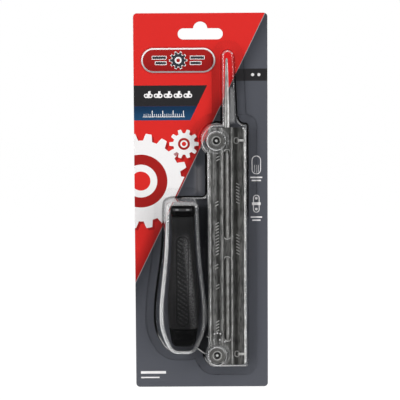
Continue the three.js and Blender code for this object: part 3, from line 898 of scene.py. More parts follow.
@dataclass(frozen=True)
class BandedSteel(Steel):
    """Steel whose tone changes along a measure: bands of painted highlight and painted shade, bright on edges
    and ridges, dark in corners and hollows.
    """

    bands: tuple[tuple[float, int], ...] = ()
    centres: tuple[Point, ...] = ()
    contrast: float = 0.45

    def colour(self, graph: Graph, share: Signal) -> Socket:
        """Read the bands' painted light and shade across the piece, or out from the nearest centre, and
        darken by the share.

        Args:
            graph: the metal's nodes.
            share: share of the dark colour.

        Returns:
            The colour.
        """
        x, y, _ = graph.place()
        measure = graph.nearest(x, y, self.centres) if self.centres else x
        low, high = self.bands[0][0], self.bands[-1][0]
        place = (measure - low) / (high - low)
        stops = [((at - low) / (high - low), srgb(tone, tone, tone - 2)) for at, tone in self.bands]
        tone = graph.node("ShaderNodeValToRGB", {"stops": stops}, {0: place})
        return graph.blend(tone.outputs[0], self.dark, graph.cover(0.42 - share, 0.14) * self.contrast)


@dataclass(frozen=True)
class Moulding:
    """Moulded plastic: one deep colour with a fine grain and slightly varied gloss."""

    name: str
    deep: Colour
    # Wear tone at random, and in the ribbed grip also painted light.
    worn_and_lit: Colour
    roughness: float
    grain: float
    grain_scale: float
    specular: float = 0.04

    def material(self) -> Material:
        """Build the plastic from grain and cloud noise.

        Returns:
            The finished material.
        """
        graph, made = Graph.material(self.name)
        grain = graph.noise(self.grain_scale, 3.0)
        cloud = graph.noise(60.0, 3.0)
        graph.dress({
            "Base Color": self.colour(graph, cloud * 0.5 + grain * 0.2),
            "Roughness": self.roughness + (cloud - 0.5) * 0.12,
            "Specular IOR Level": self.specular,
            "Normal": graph.bump(grain, self.grain),
        })
        return made

    def colour(self, graph: Graph, share: Signal) -> Socket:
        """Mix the two colours by the share of the worn and lit one."""
        return graph.blend(self.deep, self.worn_and_lit, share)


@dataclass(frozen=True)
class GleamingMoulding(Moulding):
    """Glossy plastic with two short gleams on its front and a soft sheen between them."""

    gleams: tuple[Point, ...] = ()
    gleam: Colour = srgb(235, 235, 238)

    def colour(self, graph: Graph, share: Signal) -> Socket:
        """Lay the gleams and the sheen over the plastic's own colour.

        Args:
            graph: the plastic's nodes.
            share: share of the worn and lit colour.

        Returns:
            The colour.
        """
        across, up, _ = graph.place()
        spots = [graph.pill(across, up, centre, 0.8, 0.1) for centre in self.gleams]
        spot = graph.cover(united(spots), 1.0)
        middle = tuple(np.mean(self.gleams, axis=0).tolist())
        sheen = graph.cover(graph.pill(across, up, middle, 6.5, 0.3), 1.4) * 0.16
        return graph.blend(super().colour(graph, share), self.gleam, spot & sheen)


@dataclass(frozen=True)
class RibbedMoulding(Moulding):
    """Satin plastic with a painted highlight column down it, a fainter painted light on its left, and a panel
    of ribs.

    The panel is given by its middle across, its top, its foot and its half width.
    """

    column: float = 0.0
    panel: tuple[float, float, float, float] = (0.0, 0.0, 0.0, 0.0)
    rib_pitch: float = 3.4
    rib_lean: float = 0.7
    column_lean: float = 0.08
    column_middle: float = -195.0
    column_foot: float = -165.0
    column_half: float = 2.2
    left_light: Point = (-8.5, -150.0)
    foot_fade: Point = (-208.0, 24.0)

    def colour(self, graph: Graph, share: Signal) -> Socket:
        """Brighten the ribs; paint a highlight column, light on the left side and a highlight along the
        groove's outer edge; paint shade in the groove round the panel and towards the foot.

        Args:
            graph: the plastic's nodes.
            share: share of the worn and lit colour.

        Returns:
            The colour.
        """
        across, up, _ = graph.place()
        drift = across - self.column + (up - self.column_middle) * self.column_lean
        mottle = graph.cover(0.5 - graph.noise(1100.0, 2.0), 0.12)
        # Painted highlight column down the grip.
        light = graph.cover(abs(drift) - self.column_half, 1.6) * graph.cover(up - self.column_foot, 6.0)
        share = share * 0.3 + light * (0.2 + mottle * 0.6)
        middle, top, foot, half = self.panel
        stadium = graph.pill(up, across, ((top + foot) / 2, middle), (top - foot) / 2 - half, half)
        turn = (up + (across - middle) * self.rib_lean) * (2 * math.pi / self.rib_pitch)
        ribs = graph.cover(stadium + 0.9, 0.3) * graph.cover(-graph.math("SINE", turn), 0.5)
        share = share & ribs * (0.1 + mottle * 0.35)
        # Painted shade in the groove round the panel, and a painted highlight along its outer edge.
        groove = 1.0 - graph.cover(abs(stadium) - 0.25, 0.2)
        share = (share | groove) & graph.cover(abs(stadium - 0.7) - 0.1, 0.25) * 0.4
        # Painted light on the grip's left side.
        side, height = self.left_light
        left = graph.cover(abs(across - middle - side) - 2.2, 1.5) * graph.cover(height - up, 60.0)
        share = share & left * 0.35
        # Painted shade towards the foot.
        end, soft = self.foot_fade
        share = share * (1.0 - graph.cover(up - end, soft) * 0.55)
        return super().colour(graph, share)


# Surfaces


@dataclass(frozen=True)
class Extent:
    """Where a CAD node lies on the printed face, in millimetres; back and front are heights out of it."""

    left: float
    right: float
    foot: float
    top: float
    back: float
    front: float

    @classmethod
    def of(cls, node: str) -> Extent:
        """Read a node's box from the frame.

        Args:
            node: the CAD node's name.

        Returns:
            The node's extent.
        """
        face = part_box("backing_card")[0].y
        low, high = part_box(node)
        ends = (low.x, high.x, low.z, high.z, face - high.y, face - low.y)
        return cls(*(end / MM for end in ends))

    @property
    def centre(self) -> Point:
        """Middle of the box across and up."""
        return (self.left + self.right) / 2, (self.foot + self.top) / 2


class Skin:
    """Grids of points gathered into one mesh. A grid's points are in face millimetres."""

    def __init__(self) -> None:
        """Start with no points and no faces."""
        self.points: list[Array] = []
        self.faces: list[list[int]] = []
        self.slots: list[int] = []
        self.count = 0

    def grid(
        self, rings: Array, around: bool = True, along: bool = False,
        caps: tuple[bool, bool] = (False, False), slot: int = 0,
    ) -> Skin:
        """Add a grid of quads, and a fan of triangles over each capped end.

        Args:
            rings: array of rings by points by x, y, h.
            around: whether the last point of a ring joins its first.
            along: whether the last ring joins the first.
            caps: whether the first and the last ring are closed by a fan.
            slot: material number of the faces.

        Returns:
            This skin.
        """
        rows, columns = rings.shape[:2]
        index = np.arange(rows * columns).reshape(rows, columns) + self.count
        if around:
            index = np.concatenate([index, index[:, :1]], axis=1)
        if along:
            index = np.concatenate([index, index[:1]], axis=0)
        quads = np.stack([index[:-1, :-1], index[:-1, 1:], index[1:, 1:], index[1:, :-1]], axis=-1)
        faces = quads.reshape(-1, 4).tolist()
        self.points.append(rings.reshape(-1, 3))
        self.count += rows * columns
        for capped, ring in zip(caps, (0, -1)):
            if capped:
                self.points.append(rings[ring].mean(axis=0)[None])
                fan = np.stack([index[ring, :-1], index[ring, 1:], np.full(columns, self.count)], axis=1)
                faces += fan.tolist()
                self.count += 1
        self.faces += faces
        self.slots += [slot] * len(faces)
        return self

    def plate(self, outline: Array, low: float, high: float, slot: int = 0) -> Skin:
        """Add a closed flat plate of an outline between two heights."""
        return self.grid(np.stack([ring(outline, low), ring(outline, high)]), caps=(True, True), slot=slot)

    def plug(self, rings: Array) -> Skin:
        """Add rings whose first and last are closed."""
        return self.grid(rings, caps=(True, True))

    def mesh(self, name: str) -> bpy.types.Mesh:
        """Put the points in the frame, weld doubles, and turn the faces outwards.

        Args:
            name: the mesh's name.

        Returns:
            The closed mesh.
        """
        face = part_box("backing_card")[0].y / MM
        points = np.concatenate(self.points)
        placed = np.stack([points[:, 0], face - points[:, 2], points[:, 1]], axis=1) * MM
        made = bpy.data.meshes.new(name)
        made.from_pydata(placed.tolist(), [], self.faces)
        made.polygons.foreach_set("material_index", self.slots)
        form = bmesh.new()
        form.from_mesh(made)
        bmesh.ops.remove_doubles(form, verts=form.verts, dist=WELD)
        bmesh.ops.dissolve_degenerate(form, edges=form.edges, dist=WELD / 10)
        bmesh.ops.recalc_face_normals(form, faces=form.faces)
        form.to_mesh(made)
        form.free()
        return made

    def thing(self, name: str, *materials: Material) -> Thing:
        """Make an object of the mesh with its materials.

        Args:
            name: the object's name.
            *materials: its materials in order.

        Returns:
            The object.
        """
        made = bpy.data.objects.new(name, self.mesh(name))
        bpy.context.scene.collection.objects.link(made)
        for material in materials:
            made.data.materials.append(material)
        return made


def settle(thing: Thing) -> Thing:
    """Replace an object's mesh by its shape after modifiers, and drop the modifiers.

    Args:
        thing: the object.

    Returns:
        The same object.
    """
    graph = bpy.context.evaluated_depsgraph_get()
    shaped = bpy.data.meshes.new_from_object(thing.evaluated_get(graph))
    thing.modifiers.clear()
    thing.data = shaped
    return thing


def cut(thing: Thing, tool: Thing, operation: str) -> Thing:
    """Join, cut or intersect a closed shape with another, and delete the other.

    Args:
        thing: the closed shape that stays.
        tool: the other closed shape.
        operation: UNION, DIFFERENCE or INTERSECT.

    Returns:
        The shape that stays.
    """
    modifier = thing.modifiers.new("cut", "BOOLEAN")
    modifier.operation = operation
    modifier.solver = "MANIFOLD"
    modifier.object = tool
    settle(thing)
    bpy.data.objects.remove(tool)
    return thing


def smooth(thing: Thing, degrees: float = 35.0, weighted: bool = False) -> Thing:
    """Shade smooth below an angle, with large faces ruling the normals where asked.

    Args:
        thing: the object.
        degrees: the angle past which an edge stays sharp.
        weighted: whether large faces rule.

    Returns:
        The same object.
    """
    thing.data.polygons.foreach_set("use_smooth", np.ones(len(thing.data.polygons), bool))
    thing.data.set_sharp_from_angle(angle=math.radians(degrees))
    if weighted:
        modifier = thing.modifiers.new("weigh", "WEIGHTED_NORMAL")
        modifier.keep_sharp = True
    return thing


def hand_over(thing: Thing, body: Body, slot: Slot, *nodes: str) -> Thing:
    """Tie a finished piece to its body, and let it stand for CAD nodes.

    Args:
        thing: the piece.
        body: what it rides on.
        slot: the record's finish for it; not used.
        *nodes: the CAD nodes that it replaces.

    Returns:
        The same piece.
    """
    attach(thing, body.value)
    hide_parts(*nodes)
    LOG.info("%s rides on %s with %d faces", thing.name, body.value, len(thing.data.polygons))
    return thing


def hermite(stations: Sequence[float], values: Sequence[float], at: Array) -> Array:
    """Cubic through points, with each slope taken from the two neighbours.

    Args:
        stations: rising places of the points.
        values: the points' values.
        at: where to read the curve.

    Returns:
        The curve's values.
    """
    x, y = np.asarray(stations, float), np.asarray(values, float)
    slope = np.gradient(y, x)
    place = np.clip(np.searchsorted(x, at, side="right") - 1, 0, len(x) - 2)
    width = x[place + 1] - x[place]
    t = (at - x[place]) / width
    left = y[place] * (1 + 2 * t) * (1 - t) ** 2 + slope[place] * width * t * (1 - t) ** 2
    right = y[place + 1] * t * t * (3 - 2 * t) + slope[place + 1] * width * t * t * (t - 1)
    return left + right


def ease(low: float, high: float, at: Array) -> Array:
    """Smooth step from 0 below low to 1 above high."""
    t = np.clip((at - low) / (high - low), 0, 1)
    return t * t * (3 - 2 * t)


def arc(circle: Triple, angle: Array) -> Array:
    """Points on a circle of x, y and radius: cosine across and sine up."""
    x, y, radius = circle
    return np.stack([x + radius * np.cos(angle), y + radius * np.sin(angle)], axis=1)


def disc(x: float, y: float, radius: float, count: int = 64) -> Array:
    """Outline of a circle, as points at even angles."""
    return arc((x, y, radius), np.arange(count) * 2 * np.pi / count)


def filleted(corners: Sequence[Triple], steps: int = 5) -> Array:
    """Closed outline with each corner rounded by a quadratic curve between its tangents.

    Args:
        corners: x, y and radius of each corner.
        steps: points in each round.

    Returns:
        The outline's points.
    """
    table = np.array(corners, float)
    here, radius = table[:, :2], table[:, 2:]
    before, after = np.roll(here, 1, axis=0) - here, np.roll(here, -1, axis=0) - here
    into = before / np.linalg.norm(before, axis=1, keepdims=True)
    out = after / np.linalg.norm(after, axis=1, keepdims=True)
    turn = np.arccos(np.clip((into * out).sum(axis=1, keepdims=True), -1, 1))
    reach = radius / np.tan(np.clip(turn / 2, 0.2, 1.5))
    t = np.linspace(0, 1, steps)[None, :, None]
    start, end = (here + into * reach)[:, None], (here + out * reach)[:, None]
    curve = start * (1 - t) ** 2 + here[:, None] * 2 * t * (1 - t) + end * t * t
    return curve.reshape(-1, 2)


def rounded_box(
    left: float, right: float, foot: float, top: float, radius: float,
    steps: int = 9, left_radius: float = 0.0,
) -> Array:
    """Outline of a rectangle whose corners are quarter circles.

    Args:
        left, right, foot, top: the rectangle's sides.
        radius: radius of the corners.
        steps: points in each corner.
        left_radius: radius of the left corners, where it is another.

    Returns:
        The outline's points, anticlockwise from the right side.
    """
    other = left_radius or radius
    circles = (
        (right - radius, top - radius, radius), (left + other, top - other, other),
        (left + other, foot + other, other), (right - radius, foot + radius, radius),
    )
    angle = np.linspace(0, np.pi / 2, steps)
    return np.concatenate([arc(circle, angle + place * np.pi / 2) for place, circle in enumerate(circles)])


def capsule(top: Triple, foot: Triple, steps: int = 25) -> Array:
    """Outline of two half circles, each given by x, y and radius, joined by straight sides."""
    angle = np.linspace(0, np.pi, steps)
    return np.concatenate([arc(top, angle), arc(foot, angle + np.pi)])


def closed_curve(corners: Array, count: int) -> Array:
    """Smooth closed curve through points, read at even lengths: Catmull-Rom spans between neighbours.

    Args:
        corners: the points.
        count: how many points to read.

    Returns:
        The curve's points.
    """
    spans = 12
    before, here = np.roll(corners, 1, axis=0), corners
    after, beyond = np.roll(corners, -1, axis=0), np.roll(corners, -2, axis=0)
    t = (np.arange(spans) / spans)[None, :, None]
    p0, p1, p2, p3 = (points[:, None] for points in (before, here, after, beyond))
    curve = p1 + (p2 - p0) * t / 2 + (p0 - p1 * 2.5 + p2 * 2 - p3 / 2) * t**2
    curve = (curve + (p1 * 1.5 - p0 / 2 - p2 * 1.5 + p3 / 2) * t**3).reshape(-1, 2)
    lengths = np.linalg.norm(np.roll(curve, -1, axis=0) - curve, axis=1)
    run = np.concatenate([[0.0], np.cumsum(lengths)])
    wanted = np.arange(count) * run[-1] / count
    looped = np.concatenate([curve, curve[:1]])
    return np.stack([np.interp(wanted, run, looped[:, axis]) for axis in (0, 1)], axis=1)


def grown(outline: Array, distance: float) -> Array:
    """Move an anticlockwise outline outwards along its normals.

    Args:
        outline: the points.
        distance: how far, inwards below zero.

    Returns:
        The moved points.
    """
    before, after = np.roll(outline, 1, axis=0), np.roll(outline, -1, axis=0)
    into, out = outline - before, after - outline
    into /= np.maximum(np.linalg.norm(into, axis=1, keepdims=True), WELD)
    out /= np.maximum(np.linalg.norm(out, axis=1, keepdims=True), WELD)
    way = into + out
    way /= np.linalg.norm(way, axis=1, keepdims=True)
    return outline + np.stack([way[:, 1], -way[:, 0]], axis=1) * distance


def ring(outline: Array, height: float | Array) -> Array:
    """Give a flat outline its height out of the face."""
    return np.concatenate([outline, np.broadcast_to(height, (len(outline), 1))], axis=1)


def turned(profile: Array, centre: Point, steps: int = 72) -> Array:
    """Rings of a turned piece: radius and height in the profile, carried round an axis out of the face.

    Args:
        profile: rows of radius and height.
        centre: the axis's place on the face.
        steps: points in a ring.

    Returns:
        One ring for each row.
    """
    angle = np.arange(steps) * 2 * np.pi / steps
    radius, height = profile[:, :1], profile[:, 1:]
    across = centre[0] + radius * np.cos(angle)
    up = centre[1] + radius * np.sin(angle)
    return np.stack([across, up, np.broadcast_to(height, across.shape)], axis=2)


# The pack's pieces


@dataclass(frozen=True)
class Card:
    """Backing card: a board with round corners and a hang slot, which is a bar with a round bump."""

    extent: Extent
    corner: float = 3.0
    slot_half: float = 17.2
    slot_bar: float = 8.4
    slot_drop: float = 5.1
    slot_bump: float = 5.4
    edge_round: float = 0.12

    def build(self) -> Thing:
        """Carry the board's rim section from the slot to the outline and back, as rings round the slot.

        Returns:
            The finished piece.
        """
        centre = np.array([0.0, -self.slot_drop - self.slot_bar / 2])
        angle = self._angles(centre)
        way = np.stack([np.cos(angle), np.sin(angle)], axis=1)
        inner = self._slot_reach(centre, way)[:, None]
        outer = self._card_reach(centre, way)[:, None]
        thick = self.extent.front - self.extent.back
        edge = self.edge_round
        stations = (
            (inner + edge, 0.0, 0), (outer - edge, 0.0, 1), (outer, -edge, 1), (outer, edge - thick, 1),
            (outer - edge, -thick, 2), (inner + edge, -thick, 1), (inner, edge - thick, 1), (inner, -edge, 1),
        )
        rings = np.stack([ring(centre + way * reach, height) for reach, height, _ in stations])
        skin = Skin()
        for place, (_, _, slot) in enumerate(stations):
            pair = rings[[place, (place + 1) % len(stations)]]
            skin.grid(pair, slot=slot)
        front = PrintedFace().material()
        rim = BareBoard("board_edge", srgb(206, 202, 198), srgb(168, 162, 158)).material()
        back = BareBoard("board_back", srgb(222, 220, 216), srgb(196, 193, 188), 0.6).material()
        made = skin.thing("printed_card", front, rim, back)
        return hand_over(smooth(made, 30.0), Body.PACK, Slot.BOARD, "backing_card")

    def _angles(self, centre: Array) -> Array:
        """Angles from the slot's middle to every point that either outline needs.

        Args:
            centre: the slot's middle.

        Returns:
            The angles, rising.
        """
        box = self.extent
        card = rounded_box(box.left, box.right, box.foot, box.top, self.corner, 12)
        end = self.slot_bar / 2
        reach = self.slot_half - end
        bar = capsule((0, reach, end), (0, -reach, end), 30)[:, ::-1] * (1, -1) + centre
        bump = disc(0, -self.slot_bump, self.slot_bump, 96)
        join = np.array([[side * math.sqrt(self.slot_bump**2 - (self.slot_bump - self.slot_drop) ** 2),
                          -self.slot_drop] for side in (-1, 1)])
        points = np.concatenate([card, bar, bump[bump[:, 1] > -self.slot_drop], join]) - centre
        even = np.arange(72) * np.pi / 36 - np.pi
        return np.unique(np.round(np.concatenate([np.arctan2(points[:, 1], points[:, 0]), even]), 5))

    def _slot_reach(self, centre: Array, way: Array) -> Array:
        """Distance to the slot's edge: the farther of the way out of the bar and out of the bump.

        Args:
            centre: the slot's middle.
            way: unit vectors from it.

        Returns:
            The distances.
        """
        end = self.slot_bar / 2
        span = self.slot_half - end
        flat = end / np.maximum(np.abs(way[:, 1]), WELD)
        side = span * np.abs(way[:, 0])
        round_end = side + np.sqrt(np.maximum(side**2 - span**2 + end**2, 0))
        bar = np.where(flat * np.abs(way[:, 0]) <= span, flat, round_end)
        lift = -self.slot_bump - centre[1]
        along = lift * way[:, 1]
        bump = along + np.sqrt(along**2 - lift**2 + self.slot_bump**2)
        return np.maximum(bar, bump)

    def _card_reach(self, centre: Array, way: Array) -> Array:
        """Distance to the card's outline: out of the rectangle, or of a corner's circle where it bites.

        Args:
            centre: the slot's middle.
            way: unit vectors from it.

        Returns:
            The distances.
        """
        box = self.extent
        half = (box.right - box.left) / 2
        to_side = half / np.maximum(np.abs(way[:, 0]), WELD)
        room = np.where(way[:, 1] > 0, box.top - centre[1], centre[1] - box.foot)
        to_end = room / np.maximum(np.abs(way[:, 1]), WELD)
        reach = np.minimum(to_side, to_end)
        core = np.stack([np.sign(way[:, 0]) * (half - self.corner),
                         np.sign(way[:, 1]) * (room - self.corner)], axis=1)
        past = np.abs(way * reach[:, None]) - np.abs(core)
        along = (core * way).sum(axis=1)
        root = along**2 - (core**2).sum(axis=1) + self.corner**2
        bitten = (past > 0).all(axis=1)
        return np.where(bitten, along + np.sqrt(np.maximum(root, 0)), reach)


@dataclass(frozen=True)
class Bubble:
    """One drawn bubble: its outline at the card and at the roof, its height and its rounded edges."""

    base: Array
    roof: Array
    height: float
    roof_round: float = 1.6
    foot_round: float = 1.4
    crown: float = 0.0
    way: float = 1.0

    def rings(self, floor: float, flange_top: float) -> Array:
        """Flare out of the flange on a quarter circle, rise on the drafted wall, round over, and close.

        Args:
            floor: height of the flange's back.
            flange_top: height of its front.

        Returns:
            The rings, foot first.
        """
        sunk = flange_top - 0.02
        flare = self.foot_round * self.way
        made = [ring(grown(self.base, flare), floor)]
        for turn in np.linspace(0, np.pi / 2, 6):
            height = sunk + self.foot_round * (1 - math.cos(turn))
            made.append(ring(grown(self._wall(height), flare * (1 - math.sin(turn))), height))
        shoulder = self.height - self.roof_round
        halfway = shoulder / 2 + self.foot_round / 2
        made.append(ring(self._wall(halfway), halfway))
        for turn in np.linspace(0, np.pi / 2, 8):
            height = shoulder + self.roof_round * math.sin(turn)
            inset = self.roof_round * self.way * (1 - math.cos(turn))
            made.append(ring(grown(self._wall(height), -inset), height))
        rim = made[-1]
        middle = rim.mean(axis=0)
        for share in (0.86, 0.6, 0.3):
            inner = middle + (rim - middle) * share
            inner[:, 2] = self.height + self.crown * (1 - share**2)
            made.append(inner)
        return np.stack(made)

    def _wall(self, height: float) -> Array:
        """The wall's outline at a height, between the base and the roof."""
        share = min(height / self.height, 1.0)
        return self.base + (self.roof - self.base) * share


@dataclass(frozen=True)
class Blister:
    """Clear formed shell: a flange, and bubbles over the guide, the tang, the nuts and the handle."""

    guide: Extent
    handle: Extent
    nuts: tuple[Extent, Extent]
    file: Extent
    shell: Extent
    wall: float = 0.45
    flange: float = 7.2
    guide_height: float = 9.6
    draft: float = 0.9
    dome_height: float = 16.0
    nut_corner: float = 5.0
    steps: tuple[Triple, ...] = ((13.3, 0.8, 1.0), (10.4, 0.0, 0.0))
    step_draft: float = 2.0
    bridge_height: float = 5.0
    level_step: float = 0.004
    bubble_shares: tuple[Triple, ...] = (
        (0, 0.11, 0.15), (0, 0.23, 0.3), (0, 0.34, 0.45), (0.003, 0.43, 0.55), (0.012, 0.55, 0.63),
        (0.025, 0.62, 0.685), (0.04, 0.64, 0.705), (0.07, 0.66, 0.71), (0.11, 0.665, 0.718),
        (0.18, 0.67, 0.735), (0.3, 0.705, 0.77), (0.43, 0.785, 0.835), (0.56, 0.9, 0.925),
        (0.68, 0.98, 0.995), (0.8, 1, 0.985), (0.88, 0.91, 0.865), (0.94, 0.73, 0.705),
        (0.97, 0.6, 0.595), (0.987, 0.47, 0.48), (0.996, 0.34, 0.36), (1, 0.22, 0.23), (1, 0.11, 0.115),
    )

    def build(self) -> Thing:
        """Unite the solid forms, keep the outer skin above the seal, and give it its wall.

        Returns:
            The finished piece.
        """
        floor = self.shell.back
        top = floor + self.wall
        left, _, foot, head = self._walls()
        bubbles = self._bubbles()
        bridge = self._bridge(left, foot)
        forms = []
        for place, bubble in enumerate(bubbles):
            sunk = place * self.level_step
            forms.append(Skin().plate(grown(bubble.base, self.flange), floor - sunk, top - sunk))
        forms += [Skin().plug(bubble.rings(floor, top)) for bubble in [*bubbles, bridge]]
        things = [form.thing("form") for form in forms]
        axis, _, radius = self._tang()[1]
        things.append(self._fill((axis + radius, head), 5.6, 1, self.guide_height, self.draft))
        things.append(self._fill((left, bridge.base[:, 1].max()), 3.5, -1, self.bridge_height, 0.0))
        made = things[0]
        for other in things[1:]:
            cut(made, other, "UNION")
        made.name = "clear_blister"
        self._open(made, top)
        modifier = made.modifiers.new("wall", "SOLIDIFY")
        modifier.thickness = self.wall * MM
        modifier.offset = -1.0
        settle(made)
        made.data.materials.clear()
        made.data.materials.append(ClearSheet(top, tuple(nut.centre for nut in self.nuts)).material())
        smooth(made, 40.0, weighted=True)
        settle(made)
        return hand_over(made, Body.BLISTER, Slot.CLEAR, "blister")

    def _walls(self) -> tuple[float, float, float, float]:
        """Sides, foot and top of the guide's bubble at the card."""
        guide = self.guide
        return guide.left - 1.4, guide.right + 1.6, guide.foot - 2.0, guide.top + 2.9

    def _tang(self) -> tuple[Triple, Triple]:
        """Place and radius of the tang bubble's two ends at the card."""
        axis, top = self.file.centre[0], self._walls()[3]
        return (axis + 0.8, self.file.top + 1.5, 5.0), (axis + 2.1, top - 6.3, 6.3)

    def _bubbles(self) -> list[Bubble]:
        """The bubbles that stand on a flange: guide, tang, a step and a dome for each nut, and handle.

        Returns:
            The bubbles.
        """
        draft = self.draft
        left, right, foot, top = self._walls()
        corner = self.nut_corner
        base = rounded_box(left, right, foot, top, 1.6, left_radius=corner)
        roof = rounded_box(left + draft, right - draft, foot + draft, top - draft, 4.6, left_radius=corner)
        made = [Bubble(base, roof, self.guide_height)]
        tip, root = self._tang()
        roof = capsule((*tip[:2], tip[2] - draft), (*root[:2], root[2] - draft))
        made.append(Bubble(capsule(tip, root), roof, self.guide_height + 0.01, foot_round=0.9))
        for nut, (step, shift, lift) in zip(self.nuts, self.steps):
            middle, radius = nut.centre, (nut.right - nut.left) / 2
            base = disc(middle[0] + shift, middle[1] + lift, step, 96)
            roof = disc(*middle, step - self.step_draft, 96)
            made.append(Bubble(base, roof, self.guide_height - 0.01, 1.3))
            base, roof = disc(*middle, radius + 2.8, 72), disc(*middle, radius + 1.7, 72)
            made.append(Bubble(base, roof, self.dome_height, 1.5, crown=0.15))
        made.append(self._handle_bubble())
        return made

    def _handle_bubble(self) -> Bubble:
        """Follow the handle's half widths at the card and at the roof, each mirrored about its own axis.

        Returns:
            The bubble.
        """
        centre = self.handle.centre[0]
        half = (self.handle.right - self.handle.left) / 2
        top, foot, end_draft = self.handle.top + 5.0, self.handle.foot - 6.5, 2.0
        along, base_share, roof_share = np.array(self.bubble_shares).T
        outlines = []
        levels = (
            (base_share, centre - 1.6, half + 8.9, 0.0), (roof_share, centre - 0.2, half + 5.4, end_draft),
        )
        for shares, axis, reach, draw in levels:
            y = top - draw + (foot + draw - top + draw) * along
            right = np.stack([axis + reach * shares, y], axis=1)
            left = np.stack([axis - reach * shares, y], axis=1)
            outlines.append(closed_curve(np.concatenate([left, right[::-1]]), 300))
        base, roof = outlines
        return Bubble(base, roof, self.shell.front - 0.12, 3.4, foot_round=1.5, crown=0.1)

    def _bridge(self, guide_left: float, guide_foot: float) -> Bubble:
        """A low shelf from the handle's bubble to the guide's, whose foot runs down to the lower nut.

        Args:
            guide_left, guide_foot: sides of the guide's bubble.

        Returns:
            The shelf.
        """
        axis, inside = self.handle.centre[0] - 1.6, guide_left + 7.8
        top, foot = self.handle.top + 5.2, self.handle.foot + 5.1
        outline = filleted([
            (axis, foot, 1.5), (inside, guide_foot + 2.2, 1.5), (inside, top, 1.5), (axis, top, 1.5),
        ], 10)
        return Bubble(outline, outline, self.bridge_height, 1.3, foot_round=1.3)

    def _fill(self, corner: Point, radius: float, way: int, height: float, draft: float) -> Thing:
        """Fill the corner of two walls: a block, less a round that leans and turns as the walls do.

        Args:
            corner: where the walls' lines meet at the card.
            radius: the round's radius at the card.
            way: 1 where the corner opens to the right, and -1 to the left.
            height: the walls' height.
            draft: how far the walls lean in.

        Returns:
            The closed fill.
        """
        floor = self.shell.back
        x, y = corner[0] + way * radius, corner[1] + radius
        inside = corner[0] - way * 4.0
        step = self.level_step
        block = rounded_box(min(x, inside), max(x, inside), corner[1] - 4.0, y, 0.01, 2)
        made = Skin().plate(block, floor + step, height - step).thing("form")
        outline, roof = disc(x, y, radius, 96), disc(x, y, radius + draft, 96)
        hollow = Bubble(outline, roof, height, 1.4, foot_round=1.3, way=-1.0)
        tool = Skin().plug(hollow.rings(floor, floor + self.wall)).thing("form")
        return cut(made, tool, "DIFFERENCE")

    @staticmethod
    def _open(thing: Thing, top: float) -> None:
        """Drop every face that lies below the flange's top, so that only the outer skin stays.

        Args:
            thing: the united shell.
            top: height of the flange's front.
        """
        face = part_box("backing_card")[0].y
        level = face - (top - 0.03) * MM
        form = bmesh.new()
        form.from_mesh(thing.data)
        low = [facet for facet in form.faces if facet.calc_center_median().y > level]
        bmesh.ops.delete(form, geom=low, context="FACES")
        form.to_mesh(thing.data)
        form.free()


